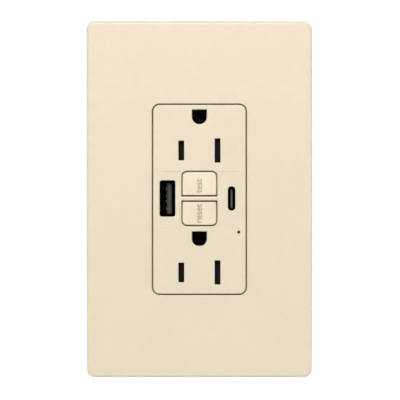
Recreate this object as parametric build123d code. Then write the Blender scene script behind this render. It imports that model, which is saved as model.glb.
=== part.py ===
from build123d import *
import os

# GFCI receptacle with two USB ports in a screwless wall plate, in millimetres.
# +X is to the right seen from the room, +Z is up, -Y points into the room.
# The origin is the middle of the device on the wall surface, which is the plane Y = 0.

# Wall plate cover
plate_width = 79.0
plate_height = 125.0
plate_corner_radius = 2.8
plate_projection = 7.2
plate_crown_rise = 1.3
plate_wall = 2.0
plate_edge_radius = 1.1
plate_gap = 0.3
plate_collar_wall = 1.2
plate_collar_depth = 1.5

# Subplate
subplate_clearance = 0.3
subplate_thickness = 1.7
subplate_rim_wall = 1.6
subplate_opening_clearance = 0.7
plate_screw_pitch = 96.8
plate_screw_length = 11.0

# Strap and mounting screws
strap_thickness = 1.4
strap_length = 106.4
strap_ear_width = 32.0
strap_neck_width = 28.0
strap_rail_width = 38.0
strap_rail_height = 53.0
strap_set_back = 2.1
mounting_screw_pitch = 83.34
mounting_screw_length = 25.4
small_screw_radius = 1.75
small_neck_radius = 1.5
small_head_radius = 3.4
small_head_height = 1.4
retainer_size = 9.0
retainer_thickness = 0.8

# Face cover
face_width = 32.4
face_height = 66.2
face_corner_radius = 2.3
face_proud = 0.4
face_wall = 2.4
face_side_wall = 1.6
face_edge_radius = 0.45
panel_width = 28.8
panel_height = 19.0
panel_recess = 0.2
panel_corner_radius = 1.5

# Device body
body_width = 43.6
body_height = 69.6
body_corner_radius = 2.5
body_wall = 1.8
body_depth = 36.0
skirt_depth = 9.0
body_clearance = 0.3

# Outlets
slot_spacing = 12.7
slot_width = 2.0
hot_slot_height = 6.88
neutral_slot_height = 8.48
upper_slot_z = 17.09
outlet_pitch = 42.74
ground_rise = 11.84
ground_hole_radius = 2.63
ground_flat_rise = 2.54
blade_thickness = 1.5
ground_pin_radius = 2.4

# Test and reset buttons
control_z = 0.28
button_width = 11.7
button_height = 8.1
button_pitch = 10.42
button_clearance = 0.35
button_outer_radius = 1.5
button_inner_radius = 0.3
button_proud = 0.35
button_travel = 1.0
button_flange = 0.9
button_flange_thickness = 1.0
button_post_radius = 3.5

# Test contact blade
blade_left = -4.6
blade_right = -3.2
blade_front = 0.1
blade_sheet = 0.3
blade_reach = 4.0

# Reset pin and latch
pin_radius = 1.2
pin_groove_radius = 0.65
pin_groove_start = 15.9
pin_shoulder = 18.4
pin_end = 19.6
latch_front = 17.05
latch_thickness = 0.6
latch_width = 5.0
trip_travel = 1.2
trip_drop = 1.5

# USB ports
usb_a_x = -11.19
usb_a_width = 5.49
usb_a_height = 12.7
usb_a_corner_radius = 0.8
usb_c_x = 11.28
usb_c_width = 2.62
usb_c_height = 8.43
usb_c_corner_radius = 1.2
shell_thickness = 0.3
shell_play = 0.37
tongue_set_in = 1.15
tongue_thickness = 1.84
tongue_height = 11.1
contact_offsets = (-3.5, -1.0, 1.0, 3.5)
contact_strip_width = 1.0
contact_strip_thickness = 0.2
usb_c_depth = 7.35
usb_c_tongue_thickness = 0.7
usb_c_tongue_height = 6.6
board_thickness = 1.0

# Status light
light_x = 13.8
light_z = -11.49
light_radius = 0.5

# Safety shutters
shutter_thickness = 1.6
shutter_travel = 3.0
shutter_layer_gap = 0.3
shutter_half_height = 5.1

# Carrier, contacts and arms
floor_front = 11.6
floor_thickness = 1.7
bus_thickness = 1.0
bus_width = 4.4
contact_wall = 0.8
arm_front = 15.0
arm_thickness = 0.6
arm_width = 4.0
arm_x = 6.9
arm_root_z = -24.0
arm_tip_z = 6.0
contact_z = 4.0

# Terminals
terminal_z = 21.0
terminal_depth = 20.0
terminal_size = 9.0
terminal_face_inset = 2.8
tab_thickness = 1.0
terminal_screw_radius = 2.0
terminal_head_radius = 3.9
terminal_head_height = 2.0
terminal_screw_length = 7.0
clamp_thickness = 1.2
clamp_travel = 2.4
ground_tab_x = 11.0
ground_tab_z = 40.6
ground_tab_depth = 6.0
wire_entry_width = 2.6
wire_entry_length = 3.4

# Main board, solenoid and transformers
main_board_front = 30.4
main_board_width = 26.4
main_board_height = 62.0
main_board_thickness = 1.6
solenoid_depth = 22.5
solenoid_start_z = 3.5
coil_length = 15.0
coil_radius = 5.2
bobbin_flange_radius = 5.6
plunger_radius = 2.1
toroid_z = -21.0
toroid_radius = 8.5
toroid_bore = 3.0
toroid_height = 4.4
wire_radius = 0.9

# Clearances
running = 0.05
small_gap = 0.1
light_gap = 0.05

# Places that follow from the sizes above
plate_front = -plate_projection
crown_radius = ((plate_height / 2) ** 2 + plate_crown_rise ** 2) / (2 * plate_crown_rise)
plate_opening_width = face_width + 2 * plate_gap
plate_opening_height = face_height + 2 * plate_gap
face_front = plate_front - face_proud
face_inner = face_front + face_wall
face_inner_half_width = face_width / 2 - face_side_wall
face_inner_half_height = face_height / 2 - face_side_wall
subplate_back = -strap_thickness
subplate_front = subplate_back - subplate_thickness
strap_back = strap_set_back + strap_thickness
skirt_half_width = body_width / 2 - body_wall
skirt_half_height = body_height / 2 - body_wall
rear_wall_front = body_depth - body_wall
test_z = control_z + button_pitch / 2
reset_z = control_z - button_pitch / 2
panel_front = face_front + panel_recess
button_front = panel_front - button_proud
usb_board_front = skirt_depth
usb_board_back = usb_board_front + board_thickness
shutter_front = face_inner + shutter_layer_gap
shutter_back = shutter_front + shutter_thickness
tray_front = shutter_back + small_gap
tray_back = tray_front + board_thickness
floor_back = floor_front + floor_thickness
arm_back = arm_front + arm_thickness
latch_back = latch_front + latch_thickness
slot_zs = (upper_slot_z, upper_slot_z - outlet_pitch)
ground_zs = tuple(z + ground_rise for z in slot_zs)
housing_screw_x = skirt_half_width - 2.4
housing_screw_z = skirt_half_height - 2.4
terminal_tab_x = body_width / 2 - terminal_face_inset
leg_z = test_z + button_height / 2 - 1.25
blade_root_z = leg_z + blade_reach
blade_back = blade_front + blade_sheet
tongue_right = usb_a_x + usb_a_width / 2 - tongue_set_in


def block(x0, x1, y0, y1, z0, z1):
    """Box between two corners."""
    centre = Pos((x0 + x1) / 2, (y0 + y1) / 2, (z0 + z1) / 2)
    return centre * Box(x1 - x0, y1 - y0, z1 - z0)


def prism(outline, y_front, y_back):
    """Outline drawn in X and Z, carried from one depth to another."""
    placed = Plane.XZ.offset(-y_back) * outline
    return extrude(placed, amount=y_back - y_front, dir=(0, -1, 0))


def rod_x(y, z, radius, x0, x1):
    """Round bar along X."""
    return Pos((x0 + x1) / 2, y, z) * Rot(0, 90, 0) * Cylinder(radius, abs(x1 - x0))


def rod_y(x, z, radius, y0, y1):
    """Round bar along Y."""
    return Pos(x, (y0 + y1) / 2, z) * Rot(90, 0, 0) * Cylinder(radius, abs(y1 - y0))


def rod_z(x, y, radius, z0, z1):
    """Round bar along Z."""
    return Pos(x, y, (z0 + z1) / 2) * Cylinder(radius, abs(z1 - z0))


def rounded_prism(width, height, radius, y_front, y_back, x=0.0, z=0.0):
    """Rounded rectangle carried from one depth to another."""
    return prism(Pos(x, z) * RectangleRounded(width, height, radius), y_front, y_back)


def behind_crown(front, width=400.0):
    """Everything behind a crowned front that is highest at Z = 0 and straight along X."""
    radius = crown_radius + plate_front - front
    return rod_x(front + radius, 0, radius, -width / 2, width / 2)


def front_rim(solid):
    """Edges around the foremost face."""
    return solid.faces().sort_by(Axis.Y)[0].outer_wire().edges()


def coil_spring(radius, wire, length, turns):
    """Open coil spring along Z that starts and ends inside its length."""
    height = length - 2 * wire - 2 * small_gap
    path = Helix(pitch=height / turns, height=height, radius=radius - wire)
    start = path @ 0
    profile = Plane(origin=start, z_dir=path % 0) * Circle(wire)
    return Pos(0, 0, wire + small_gap) * sweep(profile, path=path, is_frenet=True)


def spring_along_y(x, z, y0, y1, radius, wire, turns):
    """Coil spring between two depths."""
    return Pos(x, y0, z) * Rot(-90, 0, 0) * coil_spring(radius, wire, y1 - y0, turns)


# Wall plate

def plate_opening(y_front, y_back):
    """Space that the device face passes through."""
    radius = face_corner_radius + plate_gap
    return rounded_prism(plate_opening_width, plate_opening_height, radius, y_front, y_back)


def wall_plate_cover():
    """Crowned screwless cover with a collar around its opening and four snap ribs."""
    body = rounded_prism(plate_width, plate_height, plate_corner_radius, plate_front, 0)
    body = body & behind_crown(plate_front)
    body = fillet(front_rim(body), plate_edge_radius)
    inner_width = plate_width - 2 * plate_wall
    inner_height = plate_height - 2 * plate_wall
    inner_radius = max(plate_corner_radius - plate_wall, 0.5)
    cavity = rounded_prism(inner_width, inner_height, inner_radius, plate_front, 1)
    body -= cavity & behind_crown(plate_front + plate_wall)
    collar_radius = face_corner_radius + plate_gap + plate_collar_wall
    body += rounded_prism(
        plate_opening_width + 2 * plate_collar_wall,
        plate_opening_height + 2 * plate_collar_wall,
        collar_radius,
        plate_front + plate_wall - 0.2,
        plate_front + plate_wall + plate_collar_depth,
    )
    body -= plate_opening(plate_front - 1, 0)
    rib = subplate_clearance - small_gap
    for side in (-1, 1):
        for z in (-plate_height / 4, plate_height / 4):
            x = side * (inner_width / 2 - rib / 2)
            body += block(x - rib / 2 - 0.05, x + rib / 2 + 0.05, -1.2, -0.4, z - 5, z + 5)
    return body


def subplate_outline(y_front, y_back, inset):
    """Outer outline of the subplate, drawn in by an inset."""
    width = plate_width - 2 * (plate_wall + subplate_clearance + inset)
    height = plate_height - 2 * (plate_wall + subplate_clearance + inset)
    return rounded_prism(width, height, 1.0, y_front, y_back)


def wall_plate_subplate():
    """Flat frame with a rim that the cover snaps over, held by two screws."""
    body = subplate_outline(subplate_front, 0, 0)
    body -= subplate_outline(subplate_back, 1, subplate_rim_wall)
    body -= rounded_prism(
        face_width + 2 * subplate_opening_clearance,
        face_height + 2 * subplate_opening_clearance,
        face_corner_radius,
        subplate_front - 1,
        1,
    )
    for side in (-1, 1):
        z = side * plate_screw_pitch / 2
        body -= rod_y(0, z, small_screw_radius + small_gap, subplate_front - 1, 1)
        z = side * mounting_screw_pitch / 2
        body -= rod_y(0, z, small_head_radius + 0.6, subplate_front - 1, 1)
    return body


def pan_screw(z, head_back, head_radius, head_height, length, neck):
    """Pan head screw along +Y with a straight slot and a plain neck under its head."""
    body = rod_y(0, z, head_radius, head_back - head_height, head_back)
    body = fillet(front_rim(body), head_height * 0.45)
    body += rod_y(0, z, small_neck_radius, head_back, head_back + neck)
    body += rod_y(0, z, small_screw_radius, head_back + neck, head_back + length)
    slot_depth = head_height * 0.5
    top = head_back - head_height
    body -= block(-head_radius, head_radius, top, top + slot_depth, z - 0.5, z + 0.5)
    return body


def subplate_screws():
    """Two screws from the subplate into the strap."""
    screws = []
    head_radius = small_head_radius - 0.2
    for side in (-1, 1):
        z = side * plate_screw_pitch / 2
        screws.append(
            pan_screw(z, subplate_front, head_radius, 0.9, plate_screw_length, subplate_thickness)
        )
    return Compound(children=screws)


# Strap and mounting

def strap_ear(side):
    """One ear of the strap, with its mounting slot and its plate screw hole."""
    riser_z = face_height / 2 - 0.3
    length = strap_length / 2 - riser_z
    centre = side * (riser_z + length / 2)
    body = rounded_prism(strap_ear_width, length, 3.0, -strap_thickness, 0, 0, centre)
    neck_end = body_height / 2 + 0.4
    near, far = sorted((side * (riser_z - 1), side * neck_end))
    for x in (-1, 1):
        x0, x1 = sorted((x * strap_neck_width / 2, x * strap_ear_width))
        body -= block(x0, x1, -2, 1, near, far)
    slot = Pos(0, side * mounting_screw_pitch / 2) * SlotOverall(
        2 * small_screw_radius + 3.6, 2 * small_screw_radius + 0.4
    )
    body -= prism(slot, -2, 1)
    body -= rod_y(0, side * plate_screw_pitch / 2, small_screw_radius + 0.02, -2, 1)
    low, high = sorted((side * riser_z, side * (riser_z + strap_thickness)))
    half_neck = strap_neck_width / 2
    body += block(-half_neck, half_neck, -strap_thickness, strap_back, low, high)
    low, high = sorted((side * (strap_rail_height / 2 - 1), side * (riser_z + strap_thickness)))
    body += block(-half_neck, half_neck, strap_set_back, strap_back, low, high)
    low, high = sorted((side * riser_z, side * (riser_z + 3.0)))
    body += block(-half_neck, half_neck, -strap_thickness, 0, low, high)
    return body


def ground_tab():
    """Tab at the lower end of the strap that carries the ground screw."""
    x0 = ground_tab_x - terminal_size / 2
    x1 = min(ground_tab_x + terminal_size / 2, strap_ear_width / 2)
    tab_end = ground_tab_depth + terminal_size / 2 + 1.0
    body = block(x0, x1, -strap_thickness, tab_end, -ground_tab_z, -ground_tab_z + strap_thickness)
    body -= rod_z(
        ground_tab_x, ground_tab_depth, terminal_screw_radius + running,
        -ground_tab_z - 1, -ground_tab_z + 3,
    )
    return body


def strap():
    """Yoke: two ears on the wall, a set-back frame inside the device and the ground tab."""
    half_rail = strap_rail_width / 2
    half_height = strap_rail_height / 2
    body = block(-half_rail, half_rail, strap_set_back, strap_back, -half_height, half_height)
    for side in (-1, 1):
        body += strap_ear(side)
    body += ground_tab()
    window = usb_c_x + usb_c_width / 2 + 2.6
    y0, y1 = strap_set_back - 1, strap_back + 1
    upper_top = slot_zs[0] + neutral_slot_height / 2 + 1.0
    half_outlet = slot_spacing / 2 + 2.5
    body -= block(-window, window, y0, y1, light_z + 1.6, panel_height / 2 + 1.4)
    body -= block(-half_outlet, half_outlet, y0, y1, panel_height / 2, upper_top)
    lower_top = slot_zs[1] + neutral_slot_height / 2 + 1.0
    lower_bottom = slot_zs[1] - neutral_slot_height / 2 - 1.0
    body -= block(-half_outlet, half_outlet, y0, y1, lower_bottom, lower_top)
    for z in ground_zs:
        half = ground_pin_radius + running + 0.1
        body -= block(-half, half, y0, y1, z - ground_pin_radius, z + ground_pin_radius + 0.6)
    body -= rod_y(light_x, light_z, light_radius + 0.7, y0, y1)
    return body


def mounting_screws():
    """Two long screws that hold the strap to the wall box."""
    screws = []
    neck = strap_thickness + retainer_thickness + 0.4
    for side in (-1, 1):
        z = side * mounting_screw_pitch / 2
        screws.append(
            pan_screw(
                z, -strap_thickness, small_head_radius, small_head_height,
                mounting_screw_length, neck,
            )
        )
    return Compound(children=screws)


def screw_retainers():
    """Square washers that keep the mounting screws in the strap."""
    washers = []
    for side in (-1, 1):
        z = side * mounting_screw_pitch / 2
        washer = rounded_prism(retainer_size, retainer_size, 0.8, 0, retainer_thickness, 0, z)
        washers.append(washer - rod_y(0, z, small_neck_radius + running, -1, 2))
    return Compound(children=washers)


# Face cover

def ground_outline(z):
    """Ground hole: round below, flat above."""
    circle = Circle(ground_hole_radius)
    legs = Pos(0, ground_flat_rise / 2) * Rectangle(2 * ground_hole_radius, ground_flat_rise)
    return Pos(0, z) * (circle + legs)


def button_outline(side, margin):
    """Button outline: large radii on its outer corners, small ones beside the bridge."""
    width = button_width + 2 * margin
    height = button_height + 2 * margin
    outline = Rectangle(width, height)
    outer = outline.vertices().group_by(Axis.Y)[-1 if side > 0 else 0]
    outline = fillet(outer, button_outer_radius + margin)
    inner_points = outline.vertices().group_by(Axis.Y)[0 if side > 0 else -1]
    outline = fillet(inner_points, button_inner_radius)
    return Pos(0, control_z + side * button_pitch / 2) * outline


def face_openings():
    """Every hole through the front wall of the face cover."""
    y0, y1 = face_front - 2, face_inner + 0.01
    holes = []
    for z in slot_zs:
        for side, height in ((-1, hot_slot_height), (1, neutral_slot_height)):
            slot = Pos(side * slot_spacing / 2, z) * Rectangle(slot_width, height)
            holes.append(prism(slot, y0, y1))
    for z in ground_zs:
        holes.append(prism(ground_outline(z), y0, y1))
    for side in (-1, 1):
        holes.append(prism(button_outline(side, button_clearance), y0, y1))
    holes.append(
        rounded_prism(usb_a_width, usb_a_height, usb_a_corner_radius, y0, y1, usb_a_x, control_z)
    )
    holes.append(
        rounded_prism(usb_c_width, usb_c_height, usb_c_corner_radius, y0, y1, usb_c_x, control_z)
    )
    holes.append(rod_y(light_x, light_z, light_radius, y0, y1))
    return holes


def face_shell():
    """Crowned front of the device with its side walls."""
    body = rounded_prism(face_width, face_height, face_corner_radius, face_front, 0)
    body = body & behind_crown(face_front)
    body = fillet(front_rim(body), face_edge_radius)
    panel = rounded_prism(
        panel_width, panel_height, panel_corner_radius, face_front - 1, face_inner, 0, control_z
    )
    body -= panel - behind_crown(panel_front)
    body -= block(
        -face_inner_half_width, face_inner_half_width,
        face_inner, 1,
        -face_inner_half_height, face_inner_half_height,
    )
    return body


def skirt():
    """Wide skirt behind the wall surface, open towards the rear."""
    body = rounded_prism(body_width, body_height, body_corner_radius, 0, skirt_depth)
    body -= rounded_prism(
        2 * skirt_half_width, 2 * skirt_half_height, 1.0, body_wall, skirt_depth + 1
    )
    body -= block(
        -face_inner_half_width, face_inner_half_width,
        -1, body_wall + 1,
        -face_inner_half_height, face_inner_half_height,
    )
    return body


def corner_points():
    """Places of the four housing screws."""
    return [
        (x * housing_screw_x, z * housing_screw_z)
        for x in (-1, 1)
        for z in (-1, 1)
    ]


def face_cover():
    """Front of the device: crowned face, skirt, strap notches and screw bosses."""
    body = face_shell() + skirt()
    for x, z in corner_points():
        body += rod_y(x, z, 2.6, body_wall - 0.2, skirt_depth)
    for x, z in corner_points():
        body -= rod_y(x, z, 1.35, body_wall + 1.0, skirt_depth + 1)
    half_notch = strap_neck_width / 2 + 0.3
    top = -strap_thickness - small_gap
    for side in (-1, 1):
        z0, z1 = sorted((side * (face_inner_half_height - 1), side * (body_height / 2 + 1)))
        body -= block(-half_notch, half_notch, top, skirt_depth + 1, z0, z1)
    for hole in face_openings():
        body -= hole
    return body


# Middle housing

def button_posts():
    """Two posts that guide the button stems and carry their springs."""
    posts = []
    for z in (test_z, reset_z):
        posts.append(rod_y(0, z, button_post_radius, 3.0, floor_front + 0.2))
    return posts


def middle_housing():
    """Contact carrier: floor, walls, posts and strap tongues."""
    half_width = skirt_half_width - body_clearance
    half_height = skirt_half_height - body_clearance
    top = strap_back + small_gap
    body = rounded_prism(2 * half_width, 2 * half_height, 1.0, top, floor_back)
    body -= rounded_prism(2 * half_width - 2.4, 2 * half_height - 2.4, 0.8, top - 1, floor_front)
    half_notch = strap_neck_width / 2
    for side in (-1, 1):
        z0, z1 = sorted((side * (half_height - 0.5), side * body_height / 2))
        body += block(-half_notch, half_notch, top, skirt_depth - small_gap, z0, z1)
    for post in button_posts():
        body += post
    body += block(
        blade_left, blade_right, blade_back, floor_front + 0.2, blade_root_z, blade_root_z + 0.9
    )
    for x in (-1, 1):
        x0, x1 = sorted((x * 11.0, x * 12.2))
        body += block(x0, x1, strap_back + small_gap, floor_front + 0.2, 14.5, 27.0)
        body += block(x0, x1, strap_back + small_gap, floor_front + 0.2, -30.0, -14.5)
        body += rod_y(x * 16.8, control_z, 1.8, usb_board_back, floor_front + 0.2)
    for x, z in corner_points():
        body -= rod_y(x, z, 3.4, top - 1, floor_back + 1)
    for z in ground_zs:
        body -= rod_y(0, z, ground_pin_radius + 0.8, floor_front - 1, floor_back + 1)
    for side in (-1, 1):
        body -= rod_y(side * arm_x, contact_z, 1.5, floor_front - 1, floor_back + 1)
    body -= rod_y(0, reset_z, pin_radius + 0.2, 0, floor_back + 1)
    body -= rod_y(0, test_z, pin_radius + 0.2, 0, 8.0)
    return body


# Rear housing

def terminal_windows():
    """Side windows that leave the terminal screws open."""
    half = terminal_size / 2 + 1.1
    windows = []
    for x in (-1, 1):
        for z in (-terminal_z, terminal_z):
            x0, x1 = sorted((x * (skirt_half_width - 0.5), x * (body_width / 2 + 1)))
            y0, y1 = terminal_depth - half, terminal_depth + half
            windows.append(block(x0, x1, y0, y1, z - half, z + half))
    return windows


def wire_entries():
    """Two slots through the rear wall for each side terminal."""
    entries = []
    x = terminal_tab_x - tab_thickness - wire_entry_width / 2 - small_gap
    for side in (-1, 1):
        for z in (-terminal_z, terminal_z):
            for offset in (-3.2, 3.2):
                slot = Pos(side * x, z + offset) * Rot(0, 0, 90) * SlotOverall(
                    wire_entry_length, wire_entry_width
                )
                entries.append(prism(slot, rear_wall_front - 1, body_depth + 1))
    return entries


def rear_housing():
    """Deep rear shell with terminal windows, wire entries, screw tubes and board pads."""
    body = rounded_prism(body_width, body_height, body_corner_radius, skirt_depth, body_depth)
    rim = body.faces().sort_by(Axis.Y)[-1].outer_wire().edges()
    body = fillet(rim, 1.0)
    body -= rounded_prism(
        2 * skirt_half_width, 2 * skirt_half_height, 1.0, skirt_depth - 1, rear_wall_front
    )
    for x, z in corner_points():
        body += rod_y(x, z, 2.8, skirt_depth, rear_wall_front + 0.2)
    for x in (-1, 1):
        for z in (-1, 1):
            px = x * (main_board_width / 2 - 2.0)
            pz = z * (main_board_height / 2 - 2.0)
            back = main_board_front + main_board_thickness
            body += rod_y(px, pz, 1.6, back, rear_wall_front + 0.2)
    for x, z in corner_points():
        body -= rod_y(x, z, 1.5, skirt_depth - 1, body_depth + 1)
        body -= rod_y(x, z, 2.4, body_depth - 3.0, body_depth + 1)
    for window in terminal_windows():
        body -= window
    for entry in wire_entries():
        body -= entry
    return body


def housing_screws():
    """Four screws from the rear housing into the face cover."""
    screws = []
    for x, z in corner_points():
        screw = rod_y(x, z, 2.2, body_depth - 3.0, body_depth - 1.4)
        screw += rod_y(x, z, 1.3, body_wall + 1.5, body_depth - 3.0)
        screw -= block(x - 2.2, x + 2.2, body_depth - 2.0, body_depth, z - 0.35, z + 0.35)
        screws.append(screw)
    return Compound(children=screws)


# Buttons

def button_cap(side):
    """Button with a crowned, softly rounded front and a retaining flange."""
    z = control_z + side * button_pitch / 2
    cap = prism(button_outline(side, 0), button_front, face_inner + 2.4)
    cap = cap & behind_crown(button_front)
    cap = fillet(front_rim(cap), 0.35)
    near = z - side * (button_height / 2)
    far = z + side * (button_height / 2 + button_flange)
    z0, z1 = sorted((near, far))
    half = button_width / 2 + button_flange
    back = face_inner + small_gap + button_flange_thickness
    cap += block(-half, half, face_inner + small_gap, back, z0, z1)
    return cap


def test_button():
    """Test button with its guide stem and the leg that bends the contact blade."""
    body = button_cap(1)
    body += rod_y(0, test_z, pin_radius, face_inner + 2.2, 5.5)
    body += block(
        blade_left + 0.1, blade_right - 0.1,
        face_inner + 2.2, blade_front - small_gap,
        leg_z - 0.3, leg_z + 0.3,
    )
    return body


def reset_button():
    """Reset button with a socket for the reset pin."""
    body = button_cap(-1)
    body -= rod_y(0, reset_z, pin_radius + running, face_inner + 0.6, face_inner + 3)
    return body


def reset_pin():
    """Steel pin with a latch groove and a tapered head."""
    pin = rod_y(0, reset_z, pin_radius, face_inner + 0.6, pin_groove_start)
    pin += rod_y(0, reset_z, pin_groove_radius, pin_groove_start, pin_shoulder)
    head = rod_y(0, reset_z, pin_radius, pin_shoulder, pin_end)
    rim = head.faces().sort_by(Axis.Y)[-1].edges()
    pin += chamfer(rim, 0.5)
    return pin


def test_contact_blade():
    """Springy blade under the test button, held at its upper end."""
    return block(
        blade_left, blade_right, blade_front, blade_back, leg_z - 0.9, blade_root_z + 0.6
    )


def button_spring(z):
    """Return spring between a button and its post."""
    return spring_along_y(0, z, face_inner + 2.4, 3.0, 2.9, 0.3, 4)


# Trip mechanism

def contact_lifter():
    """Lifter that carries both contact arms and holds the latch plate."""
    body = block(-4.2, 4.2, arm_back + 0.1, 20.0, reset_z - 3.4, reset_z + 3.0)
    body += block(
        -arm_x - arm_width / 2 - 0.4, arm_x + arm_width / 2 + 0.4,
        arm_back + 0.1, arm_back + 1.6,
        reset_z - 1.4, reset_z + 1.4,
    )
    body -= rod_y(0, reset_z, pin_radius + 0.15, 15, 21)
    half = latch_width / 2 + small_gap
    body -= block(
        -half, half, latch_front - small_gap, latch_back + small_gap, reset_z - 5, reset_z + 5
    )
    return body


def latch_plate():
    """Sliding latch with a keyhole around the reset pin and a tab for the plunger."""
    half = latch_width / 2
    end_z = reset_z + 5.2
    body = block(-half, half, latch_front, latch_back, reset_z - 4.2, end_z)
    hole_low = reset_z - pin_groove_radius - running
    hole_high = reset_z + pin_radius + 1.4
    hole = block(-pin_radius - 0.2, pin_radius + 0.2, 15, 20, hole_low, hole_high)
    body -= hole
    body += block(-half, half, latch_front, solenoid_depth + 1.4, end_z - 0.6, end_z)
    return body


def solenoid_bobbin():
    """Spool of the solenoid."""
    z0 = solenoid_start_z + 1.0
    z1 = z0 + coil_length
    body = rod_z(0, solenoid_depth, 2.9, z0, z1)
    body += rod_z(0, solenoid_depth, bobbin_flange_radius, z0, z0 + 0.8)
    body += rod_z(0, solenoid_depth, bobbin_flange_radius, z1 - 0.8, z1)
    body -= rod_z(0, solenoid_depth, plunger_radius + small_gap, z0 - 1, z1 + 1)
    return body


def solenoid_coil():
    """Winding of the solenoid."""
    z0 = solenoid_start_z + 1.8
    z1 = z0 + coil_length - 1.6
    body = rod_z(0, solenoid_depth, coil_radius, z0, z1)
    return body - rod_z(0, solenoid_depth, 2.9, z0 - 1, z1 + 1)


def solenoid_frame():
    """U-shaped steel frame around the solenoid."""
    z0 = solenoid_start_z
    z1 = z0 + coil_length + 2.0
    y0 = solenoid_depth - 4.6
    y1 = solenoid_depth + bobbin_flange_radius + 0.1
    body = block(-5.0, 5.0, y0, y1 + 1.0, z0, z1)
    body -= block(-6.0, 6.0, y0 - 1, y1, z0 + 1.0, z1 - 1.0)
    body -= rod_z(0, solenoid_depth, plunger_radius + small_gap, z0 - 1, z1 + 1)
    return body


def solenoid_plunger():
    """Plunger with a head for its return spring."""
    tip = reset_z + 5.2 + 0.1
    head = solenoid_start_z + coil_length + 6.5
    body = rod_z(0, solenoid_depth, plunger_radius, tip, head)
    body += rod_z(0, solenoid_depth, 3.2, head - 1.0, head)
    return body


def plunger_spring():
    """Return spring behind the solenoid."""
    z0 = solenoid_start_z + coil_length + 2.0
    spring = coil_spring(2.8, 0.25, 3.5, 3)
    return Pos(0, solenoid_depth, z0) * spring


def contact_arm(side):
    """Moving contact arm with its contact button."""
    x = side * arm_x
    body = block(
        x - arm_width / 2, x + arm_width / 2, arm_front, arm_back, arm_root_z - 1.5, arm_tip_z
    )
    body += rod_y(x, contact_z, 1.8, arm_front - 0.7, arm_front + 0.1)
    return body


# Buses and ground contacts

def blade_contact(x, z):
    """Pair of leaves that grips one plug blade, mouth towards the room."""
    half_gap = blade_thickness / 2 + running
    front = tray_back + 0.4
    back = floor_front - bus_thickness + 0.1
    body = block(x - half_gap - contact_wall, x - half_gap, front, back, z - 3.4, z + 3.4)
    body += block(x + half_gap, x + half_gap + contact_wall, front, back, z - 3.4, z + 3.4)
    return body


def bus(side):
    """Bus strip with a contact for each outlet and a riveted fixed contact."""
    x = side * arm_x
    y0 = floor_front - bus_thickness
    strip = block(
        x - bus_width / 2, x + bus_width / 2, y0, floor_front, slot_zs[1] - 3.4, slot_zs[0] + 3.4
    )
    for z in slot_zs:
        strip += blade_contact(side * slot_spacing / 2, z)
    strip += rod_y(x, contact_z, 1.2, floor_front - 0.2, floor_back + 0.4)
    strip += rod_y(x, contact_z, 1.8, floor_back + 0.1, arm_front - 0.7 - 0.02)
    return strip


def ground_contacts():
    """Two clips riveted to the strap, one for each ground pin."""
    clips = []
    for z in ground_zs:
        inner = ground_pin_radius + running
        outer = inner + contact_wall
        clip = block(-4.2, 4.2, strap_back, strap_back + contact_wall, z - 3.4, z + 2.2)
        clip -= block(-inner, inner, 0, 10, z - ground_pin_radius, z + ground_pin_radius + 0.6)
        for side in (-1, 1):
            x0, x1 = sorted((side * inner, side * outer))
            clip += block(x0, x1, strap_back, floor_front - 0.4, z - 2.0, z + 2.0)
        clips.append(clip)
    return Compound(children=clips)


# Terminals

def terminal_bar(x_side, z_side):
    """Side tab with its screw hole and a foot: forward for load, back to the board for line."""
    half = terminal_size / 2
    z = z_side * terminal_z
    outer = terminal_tab_x
    inner = outer - tab_thickness
    x0, x1 = sorted((x_side * inner, x_side * outer))
    body = block(x0, x1, terminal_depth - half, terminal_depth + half, z - half, z + half)
    foot0, foot1 = sorted((x_side * 11.0, x_side * outer))
    if z_side > 0:
        y0 = floor_back + 0.1
        body += block(foot0, foot1, y0, y0 + tab_thickness, z - 2.0, z + 2.0)
        body += block(x0, x1, y0, terminal_depth, z - 2.0, z + 2.0)
    else:
        y1 = main_board_front
        body += block(foot0, foot1, y1 - tab_thickness, y1, z - 1.4, z + 1.4)
        body += block(x0, x1, terminal_depth, y1, z - 1.4, z + 1.4)
    hole = terminal_screw_radius + running
    body -= rod_x(terminal_depth, z, hole, x_side * (inner - 1), x_side * (outer + 1))
    return body


def terminal_screw_local():
    """Terminal screw along Z: head above the plane Z = 0, shaft below it."""
    body = rod_z(0, 0, terminal_head_radius, 0, terminal_head_height)
    rim = body.faces().sort_by(Axis.Z)[-1].edges()
    body = fillet(rim, 0.6)
    body += rod_z(0, 0, terminal_screw_radius, -terminal_screw_length, 0)
    top = terminal_head_height
    body -= block(-terminal_head_radius, terminal_head_radius, -0.5, 0.5, top - 1.0, top)
    body -= block(-0.5, 0.5, -2.2, 2.2, top - 1.0, top)
    return body


def clamp_plate_local():
    """Clamp plate under the tab, with a hole for the screw and ribs that bite the wire."""
    half = terminal_size / 2 - 0.3
    z1 = -tab_thickness - small_gap
    body = block(-half, half, -half, half, z1 - clamp_thickness, z1)
    hole = terminal_screw_radius + running
    body -= rod_z(0, 0, hole, z1 - clamp_thickness - 1, z1 + 1)
    return body


def terminal_place(x_side, z_side):
    """Where a side terminal's own +Z points out of the device."""
    z = z_side * terminal_z
    return Pos(x_side * terminal_tab_x, terminal_depth, z) * Rot(0, x_side * 90, 0)


def ground_place():
    """Where the ground terminal's own +Z points down."""
    return Pos(ground_tab_x, ground_tab_depth, -ground_tab_z) * Rot(180, 0, 0)


def ground_clamp_local():
    """Clamp plate behind the thicker ground tab."""
    return Pos(0, 0, tab_thickness - strap_thickness) * clamp_plate_local()


def ground_screw_local():
    """Ground screw, kept clear of the housing behind it."""
    reach = ground_tab_z - body_height / 2 - 0.4
    body = terminal_screw_local()
    return body - block(-3, 3, -3, 3, -terminal_screw_length - 3, -reach)


# Boards and their parts

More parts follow.
